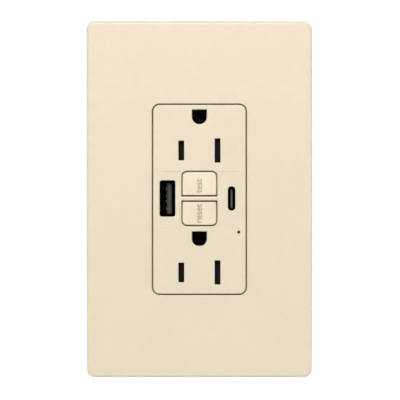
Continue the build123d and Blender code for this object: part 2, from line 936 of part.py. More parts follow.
def main_board():
    """Main circuit board with the hole for the supply wires."""
    board = rounded_prism(
        main_board_width, main_board_height, 1.0,
        main_board_front, main_board_front + main_board_thickness,
    )
    return board - rod_y(0, toroid_z, toroid_bore - 0.4, 30, 33)


def sense_transformers():
    """Two ring transformers stacked around the supply wires."""
    rings = []
    for i in range(2):
        back = main_board_front - i * (toroid_height + 0.2)
        ring = rod_y(0, toroid_z, toroid_radius, back - toroid_height, back)
        ring -= rod_y(0, toroid_z, toroid_bore, back - toroid_height - 1, back + 1)
        rings.append(ring)
    return Compound(children=rings)


def supply_wire(side):
    """Insulated wire from a contact arm down through the ring transformers."""
    path = FilletPolyline(
        (side * arm_x, arm_back + 1.1, arm_root_z + 1.0),
        (side * 1.4, arm_back + 1.8, toroid_z),
        (side * 1.4, main_board_front + main_board_thickness + 1.0, toroid_z),
        radius=1.9,
    )
    profile = Plane(origin=path @ 0, z_dir=path % 0) * Circle(wire_radius)
    return sweep(profile, path=path)


def usb_board():
    """USB board with a window for the buttons and a notch for the lower ground clip."""
    half = skirt_half_width - body_clearance - 1.4
    y0, y1 = usb_board_front, usb_board_back
    top = control_z + 10.2
    board = block(-half, half, y0, y1, control_z - 10.2, top)
    board += block(9.0, half, y0, y1, light_z - 1.8, control_z)
    window = button_post_radius + 0.6
    low = reset_z - button_post_radius - 0.4
    high = test_z + button_post_radius + 0.4
    board -= block(-window, window, y0 - 1, y1 + 1, low, high)
    return board


def usb_a_shell():
    """Thin metal shell of the USB-A port, open to the room."""
    inner_w, inner_h = usb_a_width - shell_play, usb_a_height - 0.2
    outer_w, outer_h = inner_w + 2 * shell_thickness, inner_h + 2 * shell_thickness
    y0, y1 = face_inner + 0.05, usb_board_front
    body = rounded_prism(outer_w, outer_h, 0.7, y0, y1, usb_a_x, control_z)
    body -= rounded_prism(inner_w, inner_h, 0.5, y0 - 1, y1 - 1.0, usb_a_x, control_z)
    for dz in (-3.0, 3.0):
        body += block(
            usb_a_x - inner_w / 2 - 0.05, usb_a_x - inner_w / 2 + 0.35,
            y0 + 1.2, y0 + 5.0,
            control_z + dz - 0.9, control_z + dz + 0.9,
        )
    return body


def usb_a_tongue():
    """Plastic tongue of the USB-A port, set in from the right wall."""
    half = tongue_height / 2
    y0, y1 = face_inner + 1.2, usb_board_front - 1.0
    return block(
        tongue_right - tongue_thickness, tongue_right, y0, y1, control_z - half, control_z + half
    )


def usb_a_contacts():
    """Four contact strips on the tongue."""
    x1 = tongue_right - tongue_thickness
    half = contact_strip_width / 2
    strips = []
    for dz in contact_offsets:
        y0, y1 = face_inner + 2.4, usb_board_front - 1.2
        z = control_z + dz
        strips.append(block(x1 - contact_strip_thickness, x1, y0, y1, z - half, z + half))
    return Compound(children=strips)


def usb_c_shell():
    """Metal shell of the USB-C port on its plastic base."""
    inner_w, inner_h = usb_c_width - 0.1, usb_c_height - 0.1
    outer_w, outer_h = inner_w + 2 * shell_thickness, inner_h + 2 * shell_thickness
    y0 = face_inner + 0.05
    y1 = usb_board_front
    radius = usb_c_corner_radius
    body = rounded_prism(outer_w, outer_h, radius + 0.3, y0, y1, usb_c_x, control_z)
    depth = y0 + usb_c_depth
    body -= rounded_prism(inner_w, inner_h, radius, y0 - 1, depth, usb_c_x, control_z)
    return body


def usb_c_tongue():
    """Thin centre tongue of the USB-C port."""
    y0 = face_inner + 0.9
    y1 = face_inner + 0.05 + usb_c_depth
    half_x, half_z = usb_c_tongue_thickness / 2, usb_c_tongue_height / 2
    return block(
        usb_c_x - half_x, usb_c_x + half_x, y0, y1, control_z - half_z, control_z + half_z
    )


def usb_transformer():
    """Small power transformer of the USB supply."""
    body = block(-12.2, -1.0, 23.0, main_board_front, -11.4, -2.6)
    return body


def usb_capacitors():
    """Two round capacitors of the USB supply."""
    cans = []
    for x in (3.4, 9.4):
        cans.append(rod_y(x, -7.2, 2.8, 22.6, main_board_front))
    return Compound(children=cans)


def status_led():
    """Status light on the USB board."""
    return block(
        light_x - 1.0, light_x + 1.0, usb_board_front - 1.2, usb_board_front,
        light_z - 0.6, light_z + 0.6,
    )


def light_pipe():
    """Clear pipe from the status light to the face."""
    y0 = face_front + 0.25
    y1 = usb_board_front - 1.2 - small_gap
    return rod_y(light_x, light_z, light_radius - light_gap, y0, y1)


# Safety shutters

def shutter(z):
    """Sliding shutter whose windows stand beside the slots until a plug pushes it left."""
    half_slot = slot_spacing / 2
    left = -half_slot - slot_width / 2 - 1.2
    right = half_slot + shutter_travel + slot_width / 2 + 1.7
    body = block(
        left, right, shutter_front, shutter_back, z - shutter_half_height, z + shutter_half_height
    )
    window = slot_width / 2 + 0.3
    for x in (-half_slot, half_slot):
        centre = x + shutter_travel
        body -= block(
            centre - window, centre + window, shutter_front - 1, shutter_back + 1,
            z - neutral_slot_height / 2 - 0.25, z + neutral_slot_height / 2 + 0.25,
        )
    return body


def shutter_tray(z):
    """Tray that guides one shutter, standing on the strap."""
    half_width = face_inner_half_width - 0.1
    half_height = shutter_half_height + 0.7
    y0, y1 = face_inner + 0.05, tray_back
    body = block(-half_width, half_width, y0, y1, z - half_height, z + half_height)
    inner = half_width - 0.8
    track = shutter_half_height + 0.1
    body -= block(-inner, inner, y0 - 1, tray_front, z - track, z + track)
    for x in (-slot_spacing / 2, slot_spacing / 2):
        window = slot_width / 2 + 0.4
        body -= block(
            x - window, x + window, y0 - 1, y1 + 1,
            z - neutral_slot_height / 2 - 0.3, z + neutral_slot_height / 2 + 0.3,
        )
    for side in (-1, 1):
        x0, x1 = sorted((side * (half_width - 1.4), side * half_width))
        for dz in (-half_height, half_height - 1.4):
            body += block(x0, x1, tray_back - 0.1, strap_set_back, z + dz, z + dz + 1.4)
    return body


def shutter_trays():
    """Both shutter trays."""
    return Compound(children=[shutter_tray(z) for z in slot_zs])


def shutter_spring(z):
    """Spring that pushes a shutter back to the right."""
    end = -face_inner_half_width + 0.1 + 0.8
    start = -slot_spacing / 2 - slot_width / 2 - 1.2
    spring = coil_spring(0.7, 0.12, start - end, 8)
    return Pos(end, (shutter_front + shutter_back) / 2, z) * Rot(0, 90, 0) * spring


def build():
    """Every named sub-part."""
    parts = {
        "wall_plate_cover": wall_plate_cover(),
        "wall_plate_subplate": wall_plate_subplate(),
        "subplate_screws": subplate_screws(),
        "strap": strap(),
        "mounting_screws": mounting_screws(),
        "screw_retainers": screw_retainers(),
        "face_cover": face_cover(),
        "middle_housing": middle_housing(),
        "rear_housing": rear_housing(),
        "housing_screws": housing_screws(),
        "test_button": test_button(),
        "test_spring": button_spring(test_z),
        "test_contact_blade": test_contact_blade(),
        "reset_button": reset_button(),
        "reset_spring": button_spring(reset_z),
        "reset_pin": reset_pin(),
        "contact_lifter": contact_lifter(),
        "latch_plate": latch_plate(),
        "solenoid_bobbin": solenoid_bobbin(),
        "solenoid_coil": solenoid_coil(),
        "solenoid_frame": solenoid_frame(),
        "solenoid_plunger": solenoid_plunger(),
        "plunger_spring": plunger_spring(),
        "hot_contact_arm": contact_arm(-1),
        "neutral_contact_arm": contact_arm(1),
        "hot_bus": bus(-1),
        "neutral_bus": bus(1),
        "ground_contacts": ground_contacts(),
        "main_board": main_board(),
        "sense_transformers": sense_transformers(),
        "supply_wires": Compound(children=[supply_wire(-1), supply_wire(1)]),
        "usb_board": usb_board(),
        "usb_a_shell": usb_a_shell(),
        "usb_a_tongue": usb_a_tongue(),
        "usb_a_contacts": usb_a_contacts(),
        "usb_c_shell": usb_c_shell(),
        "usb_c_tongue": usb_c_tongue(),
        "usb_transformer": usb_transformer(),
        "usb_capacitors": usb_capacitors(),
        "status_led": status_led(),
        "light_pipe": light_pipe(),
        "shutter_trays": shutter_trays(),
    }
    for name, z in zip(("upper", "lower"), slot_zs):
        parts[name + "_shutter"] = shutter(z)
        parts[name + "_shutter_spring"] = shutter_spring(z)
    for x_name, x_side in (("hot", -1), ("neutral", 1)):
        for z_name, z_side in (("line", -1), ("load", 1)):
            name = z_name + "_" + x_name
            place = terminal_place(x_side, z_side)
            parts[name + "_terminal"] = terminal_bar(x_side, z_side)
            parts[name + "_screw"] = place * terminal_screw_local()
            parts[name + "_clamp"] = place * clamp_plate_local()
    parts["ground_screw"] = ground_place() * ground_screw_local()
    parts["ground_clamp"] = ground_place() * ground_clamp_local()
    return parts


os.makedirs("parts", exist_ok=True)
for name, shape in build().items():
    export_step(shape, "parts/" + name + ".step")
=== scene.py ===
import math

import bmesh
import bpy
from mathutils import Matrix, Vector


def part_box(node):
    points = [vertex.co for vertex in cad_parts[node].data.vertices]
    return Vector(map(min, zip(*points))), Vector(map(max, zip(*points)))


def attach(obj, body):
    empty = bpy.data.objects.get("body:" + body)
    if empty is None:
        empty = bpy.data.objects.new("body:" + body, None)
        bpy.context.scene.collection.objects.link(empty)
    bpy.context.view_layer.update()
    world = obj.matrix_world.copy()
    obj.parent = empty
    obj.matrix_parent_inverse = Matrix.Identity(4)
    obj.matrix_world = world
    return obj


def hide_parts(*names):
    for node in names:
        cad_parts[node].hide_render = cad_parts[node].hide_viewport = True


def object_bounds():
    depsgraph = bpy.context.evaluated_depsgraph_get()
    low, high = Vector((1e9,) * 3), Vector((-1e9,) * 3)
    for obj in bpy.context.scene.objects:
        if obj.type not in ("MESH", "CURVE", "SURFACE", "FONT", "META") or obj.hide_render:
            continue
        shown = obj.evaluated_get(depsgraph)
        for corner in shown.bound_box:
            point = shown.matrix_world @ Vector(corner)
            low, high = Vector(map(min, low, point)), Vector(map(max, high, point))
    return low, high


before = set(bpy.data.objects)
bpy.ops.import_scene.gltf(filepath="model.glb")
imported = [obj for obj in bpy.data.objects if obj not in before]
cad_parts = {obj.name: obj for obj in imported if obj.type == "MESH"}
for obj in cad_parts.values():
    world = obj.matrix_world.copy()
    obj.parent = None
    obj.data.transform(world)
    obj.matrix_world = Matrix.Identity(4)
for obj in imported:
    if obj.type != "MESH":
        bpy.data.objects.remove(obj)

bl_info = {
    "name": "Combination Outlet",
    "version": (1, 0, 0),
    "blender": (4, 5, 0),
    "location": "3D View > Sidebar > Outlet",
    "description": "Models a ground fault outlet with two charging ports and its wall plate",
    "category": "Add Mesh",
}

CAD_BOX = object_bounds()
MM = 0.001
TINY = 1e-6
RIGHT_ANGLE = math.pi / 2
SIDES = (-1, 1)
EDGE, GAP = 1, 2  # material slots of the painted highlight on rounded edges and of the painted shade on gap walls
SHARP, VERY_SHARP = 0.6, 0.9  # least angles between the faces of an edge, in radians
DOUBLES = 2 * TINY  # vertices closer than this are one


# Sizes and colours

def linear(hex_colour):
    """Linear red, green and blue of an sRGB hex colour."""
    channels = [int(hex_colour[i:i + 2], 16) / 255 for i in (1, 3, 5)]
    return tuple(c / 12.92 if c <= 0.04045 else ((c + 0.055) / 1.055) ** 2.4 for c in channels)


def length(name, millimetres, description):
    """A length that the user may change."""
    return bpy.props.FloatProperty(
        name=name, description=description, default=millimetres * MM, min=0.0,
        subtype="DISTANCE", unit="LENGTH", precision=5,
    )


def colour(name, hex_colour, description):
    """A colour that the user may change."""
    return bpy.props.FloatVectorProperty(
        name=name, description=description, default=linear(hex_colour), size=3,
        min=0.0, max=1.0, subtype="COLOR",
    )


class OutletSizes(bpy.types.PropertyGroup):
    plate_corner: length("Plate Corner", 2.8, "Corner radius of the wall plate from the front")
    plate_edge: length("Plate Edge", 1.1, "Rounding along the wall plate's front edge")
    plate_wall: length("Plate Wall", 2.0, "Wall thickness of the wall plate cover")
    crown_rise: length("Crown Rise", 1.3, "How far the crown falls back at the plate ends")
    plate_gap: length("Plate Gap", 0.43, "Gap between the wall plate and the outlet face")
    collar_wall: length("Collar Wall", 1.2, "Wall of the collar behind the plate opening")
    collar_depth: length("Collar Depth", 1.5, "Depth of the collar behind the plate")
    rim_round: length("Rim Rounding", 0.3, "Rounding around the plate opening")
    face_width: length("Face Width", 32.4, "Width of the outlet face")
    face_height: length("Face Height", 66.2, "Height of the outlet face")
    face_corner: length("Face Corner", 2.3, "Corner radius of the outlet face")
    face_edge: length("Face Edge", 0.42, "Rounding along the edge of the outlet face")
    face_wall: length("Face Wall", 2.4, "Thickness of the outlet face")
    side_wall: length("Side Wall", 1.6, "Thickness of the walls behind the outlet face")
    panel_width: length("Panel Width", 28.8, "Width of the recessed panel around the controls")
    panel_height: length("Panel Height", 19.0, "Height of the recessed panel")
    panel_corner: length("Panel Corner", 1.5, "Corner radius of the recessed panel")
    panel_recess: length("Panel Recess", 0.2, "Depth of the recessed panel")
    skirt_corner: length("Body Corner", 2.5, "Corner radius of the device body")
    skirt_wall: length("Body Wall", 1.8, "Wall thickness of the device body")
    slot_spacing: length("Slot Spacing", 12.7, "Distance between the two blade slots")
    slot_width: length("Slot Width", 2.0, "Width of each blade slot")
    hot_slot: length("Short Slot", 6.88, "Height of the short blade slot")
    neutral_slot: length("Long Slot", 8.48, "Height of the long blade slot")
    slot_z: length("Upper Slots", 17.09, "Height of the upper blade slots above the middle")
    outlet_pitch: length("Outlet Pitch", 42.74, "Distance between the two outlets")
    ground_rise: length("Ground Rise", 11.84, "Height of a ground hole above its blade slots")
    ground_radius: length("Ground Radius", 2.63, "Radius of the round part of a ground hole")
    ground_flat: length("Ground Flat", 2.54, "Height of the flat edge of a ground hole")
    lip: length("Opening Lip", 0.32, "Rounding around the slots and ports")
    control_z: length("Control Height", 0.28, "Height of the controls above the middle")
    button_width: length("Button Width", 11.7, "Width of the test and reset buttons")
    button_height: length("Button Height", 8.1, "Height of each button")
    button_pitch: length("Button Pitch", 10.42, "Distance between the two buttons")
    button_gap: length("Button Gap", 0.44, "Gap around each button")
    button_corner: length("Button Corner", 1.5, "Radius of the outer button corners")
    button_inner: length("Inner Corner", 0.3, "Radius of the button corners beside the bridge")
    button_edge: length("Button Edge", 0.4, "Rounding along the front edge of a button")
    bridge_rise: length("Bridge Rise", 0.3, "How far the bridge between the buttons stands up")
    port_a_x: length("Wide Port Offset", 11.19, "Distance of the wide port from the middle")
    port_a_width: length("Wide Port Width", 5.49, "Width of the wide charging port")
    port_a_height: length("Wide Port Height", 12.7, "Height of the wide charging port")
    port_a_corner: length("Wide Port Corner", 0.8, "Corner radius of the wide charging port")
    port_c_x: length("Small Port Offset", 11.28, "Distance of the small port from the middle")
    port_c_width: length("Small Port Width", 2.62, "Width of the small charging port")
    port_c_height: length("Small Port Height", 8.43, "Height of the small charging port")
    port_c_corner: length("Small Port Corner", 1.2, "Corner radius of the small charging port")
    terminal_z: length("Terminal Height", 21.0, "Height of the side terminals off the middle")
    window_half: length("Window Half", 5.6, "Half the size of a terminal window")
    entry_x: length("Wire Entry Offset", 16.6, "Distance of the wire entries from the middle")
    entry_step: length("Wire Entry Step", 3.2, "Distance of a wire entry from its terminal")
    entry_width: length("Wire Entry Width", 2.6, "Width of a wire entry")
    entry_height: length("Wire Entry Height", 3.4, "Height of a wire entry")
    funnel: length("Wire Funnel", 0.5, "Chamfer that leads a wire into its entry")
    tube_radius: length("Screw Tube", 2.8, "Radius of the screw tubes in the rear housing")
    bore_radius: length("Screw Bore", 1.5, "Radius of the screw bores in the rear housing")
    sink_radius: length("Screw Sink", 2.4, "Radius of the recesses for the screw heads")
    label_width: length("Label Width", 22.0, "Width of the recess for a label")
    label_height: length("Label Height", 30.0, "Height of the recess for a label")
    mark_depth: length("Mark Depth", 0.2, "Depth of the label recess and the ejector marks")
    light_x: length("Light Offset", 13.8, "Distance of the status light right of the middle")
    light_drop: length("Light Drop", 11.49, "Distance of the status light below the middle")
    light_radius: length("Light Radius", 0.5, "Radius of the status light hole")
    letter_size: length("Letter Size", 3.3, "Size of the letters on the buttons")
    letter_rise: length("Letter Rise", 0.06, "How far the letters stand up")


class OutletColours(bpy.types.PropertyGroup):
    cover: colour("Cover", "#EDE0C6", "Light almond plastic of the wall plate cover")
    cover_shade: colour("Cover Shade", "#EBDEC3", "Darker flow clouds in the cover plastic")
    face: colour("Face", "#EEE0C6", "Light almond plastic of the outlet face")
    face_shade: colour("Face Shade", "#EBDDC2", "Darker flow clouds in the face plastic")
    button: colour("Buttons", "#F8EDD3", "Light almond plastic of the buttons")
    # Painted highlight: the lighter colour given to the rounded edges.
    edge: colour("Edges", "#FFF8E6", "Polished edges of the ivory mouldings")
    # Painted shade: the darker colour of the letters stands in for the shade on their strokes.
    letters: colour("Letters", "#BDAE8E", "Dull letters on the buttons")
    body: colour("Body", "#2A2A2C", "Dark glass filled nylon of the rear housing")
    carrier: colour("Carrier", "#3A3A3C", "Dark grey nylon of the contact carrier")
    # Partly the shutters' own black, partly painted shade: near black so that the slots read as
    # deep shade.
    shutter: colour("Shutters", "#020202", "Black acetal of the shutters")
    subplate: colour("Subplate", "#E6E0D0", "Plain polycarbonate of the subplate")


# Modelling

def settle():
    """Object mode with nothing selected."""
    if bpy.context.object and bpy.context.object.mode != "OBJECT":
        bpy.ops.object.mode_set(mode="OBJECT")
    bpy.ops.object.select_all(action="DESELECT")


def take(piece):
    """Makes one piece the only selected and active one."""
    settle()
    piece.select_set(True)
    bpy.context.view_layer.objects.active = piece


def bake_place(piece):
    """Moves a piece's place, turn and scale into its mesh."""
    take(piece)
    bpy.ops.object.transform_apply(location=True, rotation=True, scale=True)


def pick(piece, kind, wanted):
    """Selects the vertices or edges that a test wants, in edit mode, and counts them."""
    if piece.mode != "EDIT":
        take(piece)
        bpy.ops.object.mode_set(mode="EDIT")
    bpy.ops.mesh.select_mode(type=kind)
    bpy.ops.mesh.select_all(action="DESELECT")
    mesh = bmesh.from_edit_mesh(piece.data)
    found = 0
    for item in mesh.verts if kind == "VERT" else mesh.edges:
        if wanted(item):
            item.select_set(True)
            found += 1
    bmesh.update_edit_mesh(piece.data)
    return found


def middle(edge):
    """Middle of an edge."""
    return (edge.verts[0].co + edge.verts[1].co) / 2


def along(edge, axis):
    """Whether an edge runs along one axis."""
    run = edge.verts[1].co - edge.verts[0].co
    return abs(run[axis]) > 0.99 * run.length


def is_sharp(edge, angle=SHARP):
    """Whether two faces meet in an edge at more than an angle."""
    return len(edge.link_faces) == 2 and edge.calc_face_angle(0) > angle


def round_edges(piece, radius, segments, wanted, slot=-1):
    """Rounds the edges that a test wants, in the material of a slot or of their faces."""
    if pick(piece, "EDGE", wanted):
        bpy.ops.mesh.bevel(
            offset_type="OFFSET", offset=radius, segments=segments, affect="EDGES",
            clamp_overlap=False, material=slot,
        )
    bpy.ops.object.mode_set(mode="OBJECT")


def block(name, low, high):
    """Box between two corners."""
    settle()
    low, high = Vector(low), Vector(high)
    bpy.ops.mesh.primitive_cube_add(size=1, location=(low + high) / 2, scale=high - low)
    piece = bpy.context.object
    piece.name = name
    bake_place(piece)
    return piece


def rounded_block(name, low, high, radius, segments=8, axis=1):
    """Box with its four edges along one axis rounded."""
    piece = block(name, low, high)
    round_edges(piece, radius, segments, lambda e: along(e, axis))
    return piece


def span(side, near, far):
    """Two distances from the middle as a low and a high place on one side of it."""
    return sorted((side * near, side * far))


def opening(name, x, z, width, height, front, back, radius, segments=8):
    """Rounded block around a point of the front, such as cuts a slot."""
    half = Vector((width / 2, 0, height / 2))
    return rounded_block(name, Vector((x, front, z)) - half, Vector((x, back, z)) + half,
                         radius, segments)


def rod(name, start, end, radius, sides=48):
    """Round bar between two points of a line along one axis."""
    settle()
    start, end = Vector(start), Vector(end)
    run = end - start
    bpy.ops.mesh.primitive_cylinder_add(
        vertices=sides, radius=radius, depth=run.length, location=(start + end) / 2,
        rotation=run.to_track_quat("Z", "Y").to_euler(),
    )
    piece = bpy.context.object
    piece.name = name
    bake_place(piece)
    return piece


def combine(piece, tools, operation):
    """Adds, cuts or keeps what tools share with a piece, and removes the tools."""
    settle()
    for tool in tools:
        tool.select_set(True)
    bpy.context.view_layer.objects.active = tools[0]
    if len(tools) > 1:
        bpy.ops.object.join()
    tool = bpy.context.object
    take(piece)
    change = piece.modifiers.new("combine", "BOOLEAN")
    change.object = tool
    change.operation = operation
    change.solver = "EXACT"
    change.use_self = len(tools) > 1
    bpy.ops.object.modifier_apply(modifier=change.name)
    bpy.data.objects.remove(tool)
    if not piece.data.polygons:
        raise RuntimeError(f"{piece.name} came out empty")
    return piece


def join(pieces):
    """Joins pieces into the first of them."""
    settle()
    for piece in pieces:
        piece.select_set(True)
    bpy.context.view_layer.objects.active = pieces[0]
    if len(pieces) > 1:
        bpy.ops.object.join()
    return pieces[0]


def twin(piece, place, turn):
    """Copy of a piece with its own mesh, moved and turned from the middle."""
    other = piece.copy()
    other.data = piece.data.copy()
    bpy.context.scene.collection.objects.link(other)
    other.location = place
    other.rotation_euler = turn
    bake_place(other)
    return other


def clean(piece):
    """Merges doubles, dissolves flat seams and turns faces outwards."""
    take(piece)
    bpy.ops.object.mode_set(mode="EDIT")
    bpy.ops.mesh.select_all(action="SELECT")
    bpy.ops.mesh.remove_doubles(threshold=DOUBLES)
    bpy.ops.mesh.dissolve_limited(angle_limit=math.radians(0.05))
    bpy.ops.mesh.select_all(action="SELECT")
    bpy.ops.mesh.normals_make_consistent(inside=False)
    bpy.ops.object.mode_set(mode="OBJECT")


def thread(radius, pitch, bottom, turns):
    """Helical ridge along Z with an outer radius, from a height upwards."""
    settle()
    ridge = 0.46 * pitch  # a little under half, so that one turn clears the next
    bpy.ops.mesh.primitive_circle_add(
        vertices=3, radius=ridge, location=(radius - ridge, 0, bottom),
        rotation=(RIGHT_ANGLE, RIGHT_ANGLE, 0),
    )
    piece = bpy.context.object
    bake_place(piece)
    wind = piece.modifiers.new("wind", "SCREW")
    wind.screw_offset = pitch
    wind.iterations = turns
    wind.steps = wind.render_steps = 24
    bpy.ops.object.modifier_apply(modifier=wind.name)
    bpy.ops.object.mode_set(mode="EDIT")
    bpy.ops.mesh.select_all(action="SELECT")
    bpy.ops.mesh.fill_holes(sides=3)
    bpy.ops.mesh.select_all(action="SELECT")
    bpy.ops.mesh.normals_make_consistent(inside=False)
    bpy.ops.object.mode_set(mode="OBJECT")
    return piece


def threaded_screw(head_radius, head_height, radius, reach, neck, pitch):
    """Screw along Z: combination head above the plane Z = 0, thread below its neck."""
    screw = rod("screw", (0, 0, 0), (0, 0, head_height), head_radius)
    round_edges(screw, 0.4 * head_height, 5,
                lambda e: is_sharp(e) and middle(e).z > head_height - TINY)
    blade, cross = 0.5 * MM, 0.55 * head_radius
    floor, above = 0.5 * head_height, head_height + MM
    slot = block("slot", (-head_radius, -blade, floor), (head_radius, blade, above))
    bar = block("cross", (-0.8 * blade, -cross, floor), (0.8 * blade, cross, above))
    combine(screw, [slot, bar], "DIFFERENCE")
    tip, core = 0.4 * radius, radius - 0.5 * pitch
    shank = rod("shank", (0, 0, -reach), (0, 0, 0.2 * head_height), core)
    round_edges(shank, 0.3 * radius, 2, lambda e: is_sharp(e) and middle(e).z < TINY - reach)
    collar = rod("collar", (0, 0, -neck), (0, 0, 0.1 * head_height), core + 0.12 * pitch)
    combine(screw, [shank, collar], "UNION")
    clean(screw)
    turns = int((reach - neck - 2 * tip) / pitch)
    return join([screw, thread(radius, pitch, -reach + tip, turns)])


def softened(node, radius):
    """Copy of a carried-over part with its sharp edges rounded."""
    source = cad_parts[node]
    piece = source.copy()
    piece.data = source.data.copy()
    piece.parent = None
    piece.matrix_world = source.matrix_world
    bpy.context.scene.collection.objects.link(piece)
    piece.data.materials.clear()
    bake_place(piece)
    bpy.ops.mesh.customdata_custom_splitnormals_clear()
    bpy.ops.object.mode_set(mode="EDIT")
    bpy.ops.mesh.select_all(action="SELECT")
    bpy.ops.mesh.remove_doubles(threshold=DOUBLES)
    bpy.ops.mesh.dissolve_limited(angle_limit=math.radians(1))
    bpy.ops.object.mode_set(mode="OBJECT")
    round_edges(piece, radius, 2, lambda e: is_sharp(e, VERY_SHARP))
    clean(piece)
    return piece


def crown_radius(context):
    """Radius of the crown that the wall plate and the outlet face share."""
    half = (CAD_BOX[1].z - CAD_BOX[0].z) / 2
    rise = context.scene.outlet_sizes.crown_rise
    return (half ** 2 + rise ** 2) / (2 * rise)


def set_back(z, radius):
    """How far the crown lies behind its highest line at a height."""
    return radius - math.sqrt(radius ** 2 - z ** 2)


def quiet_rows(low, high, ends, most):
    """Heights for rows of edges that keep clear of rounded corners and of openings' ends."""
    least = 1.5 * MM
    levels = [low, *sorted(end for end in ends if low < end < high), high]
    strips = list(zip(levels, levels[1:]))
    rows = []
    for start, stop in strips[1:-1] if ends else strips:
        if stop - start >= least:
            parts = max(2, math.ceil((stop - start) / most))
            rows += [start + (stop - start) * i / parts for i in range(1, parts)]
    return rows


def crown_front(piece, front, radius, ends=(), most=5 * MM):
    """Crowns the flat front face of a piece along its height."""
    take(piece)
    bpy.ops.object.mode_set(mode="EDIT")
    heights = [v.co.z for v in piece.data.vertices]
    for level in quiet_rows(min(heights), max(heights), ends, most):
        bpy.ops.mesh.select_all(action="SELECT")
        bpy.ops.mesh.bisect(plane_co=(0, 0, level), plane_no=(0, 0, 1))
    mesh = bmesh.from_edit_mesh(piece.data)
    levels = sorted({round(v.co.z, 7) for v in mesh.verts if v.co.y < front + TINY})
    for level in levels:
        pick(piece, "VERT", lambda v: v.co.y < front + TINY and abs(v.co.z - level) < TINY)
        bpy.ops.transform.translate(value=(0, set_back(level, radius), 0))
    bpy.ops.object.mode_set(mode="OBJECT")


def is_wall(face):
    """Whether a face stands across the front, as the walls of an opening do."""
    return abs(face.normal.y) < 0.3


def line_faces(piece, index, wanted):
    """Gives the faces that a test wants the material of a slot."""
    for face in piece.data.polygons:
        if wanted(face):
            face.material_index = index


def is_rim(edge):
    """Whether an edge parts a face that looks into the room from a wall."""
    if len(edge.link_faces) != 2:
        return False
    front, wall = sorted(face.normal.y for face in edge.link_faces)
    return front < -0.85 and abs(wall) < 0.4


def finish_piece(piece, name, looks, slot, body, *nodes):
    """Smooths a piece, gives it its finishes and lets it ride on its body."""
    take(piece)
    bpy.ops.object.shade_smooth_by_angle(angle=math.radians(32))
    even = piece.modifiers.new("even", "WEIGHTED_NORMAL")
    even.keep_sharp = True
    bpy.ops.object.modifier_apply(modifier=even.name)
    piece.name = name
    piece.data.name = name
    made = finishes(bpy.context)
    for look in looks:
        piece.data.materials.append(made[look])
    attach(piece, body)
    if nodes:
        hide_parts(*nodes)
    return piece


# Finishes

def per(millimetres):
    """Pattern scale whose features are this many millimetres across."""
    return 1 / (millimetres * MM)


def add(tree, kind, inputs=None, **settings):
    """Adds a node with its settings, values and links."""
    node = tree.nodes.new(kind)
    for key, value in settings.items():
        setattr(node, key, value)
    for key, value in (inputs or {}).items():
        if isinstance(value, bpy.types.NodeSocket):
            tree.links.new(value, node.inputs[key])
        else:
            node.inputs[key].default_value = value
    return node


def start_material(name):
    """Material with its tree, its shader and the piece's own coordinates."""
    material = bpy.data.materials.new(name)
    material.use_nodes = True
    tree = material.node_tree
    shader = tree.nodes["Principled BSDF"]
    place = add(tree, "ShaderNodeTexCoord").outputs["Object"]
    return material, tree, shader, place


def map_range(low, high, start=0.3, end=0.7):
    """Map Range values that carry a pattern's usual spread to a range."""
    return {"From Min": start, "From Max": end, "To Min": low, "To Max": high}


def moulded_plastic(name, base, shade, roughness, grain, relief, clouds=22.0, specular=0.5):
    """Injection moulded plastic: faint flow clouds and the even grain of an eroded mould."""
    material, tree, shader, place = start_material(name)
    flow = add(tree, "ShaderNodeTexNoise",
               {"Vector": place, "Scale": per(clouds), "Detail": 3.0, "Distortion": 0.6})
    texture = add(tree, "ShaderNodeTexNoise",
                  {"Vector": place, "Scale": per(grain), "Detail": 4.0})
    specks = add(tree, "ShaderNodeTexNoise",
                 {"Vector": place, "Scale": per(2.5), "Detail": 2.0})
    cloud = add(tree, "ShaderNodeMapRange", {"Value": flow.outputs[0], **map_range(0, 1)})
    tone = add(tree, "ShaderNodeMix", {0: cloud.outputs[0], 6: (*base, 1), 7: (*shade, 1)},
               data_type="RGBA")
    fine = add(tree, "ShaderNodeMapRange",
               {"Value": specks.outputs[0], **map_range(0.988, 1.01)})
    tinted = add(tree, "ShaderNodeHueSaturation",
                 {"Value": fine.outputs[0], "Color": tone.outputs[2]})
    gloss = add(tree, "ShaderNodeMapRange", {
        "Value": specks.outputs[0], **map_range(roughness - 0.04, roughness + 0.05)})
    bump = add(tree, "ShaderNodeBump",
               {"Height": texture.outputs[0], "Strength": 0.5, "Distance": relief * MM})
    for key, node in (("Base Color", tinted), ("Roughness", gloss), ("Normal", bump)):
        tree.links.new(node.outputs[0], shader.inputs[key])
    shader.inputs["IOR"].default_value = 1.53
    shader.inputs["Specular IOR Level"].default_value = specular
    return material


def worked_metal(name, base, shade, roughness, streak, relief, clouds=3.0):
    """Plated or drawn metal: fine lines along Z and clouds in the surface."""
    material, tree, shader, place = start_material(name)
    drawn = add(tree, "ShaderNodeMapping", {"Vector": place, "Scale": (1.0, 1.0, 0.06)})
    lines = add(tree, "ShaderNodeTexNoise",
                {"Vector": drawn.outputs[0], "Scale": per(streak), "Detail": 3.0})
    stain = add(tree, "ShaderNodeTexNoise",
                {"Vector": place, "Scale": per(clouds), "Detail": 5.0})
    cloud = add(tree, "ShaderNodeMapRange", {
        "Value": stain.outputs[0], **map_range(0, 1, 0.35, 0.65)})
    tone = add(tree, "ShaderNodeMix", {0: cloud.outputs[0], 6: (*base, 1), 7: (*shade, 1)},
               data_type="RGBA")
    gloss = add(tree, "ShaderNodeMapRange", {
        "Value": stain.outputs[0], **map_range(roughness - 0.08, roughness + 0.1)})
    bump = add(tree, "ShaderNodeBump",
               {"Height": lines.outputs[0], "Strength": 0.6, "Distance": relief * MM})
    tree.links.new(tone.outputs[2], shader.inputs["Base Color"])
    for key, node in (("Roughness", gloss), ("Normal", bump)):
        tree.links.new(node.outputs[0], shader.inputs[key])
    shader.inputs["Metallic"].default_value = 1.0
    return material


PROCESSES = ("_moulded", "_shrunk", "_extruded", "_cast", "_pressed", "_plated", "_drawn",
             "_stamped", "_enamelled")


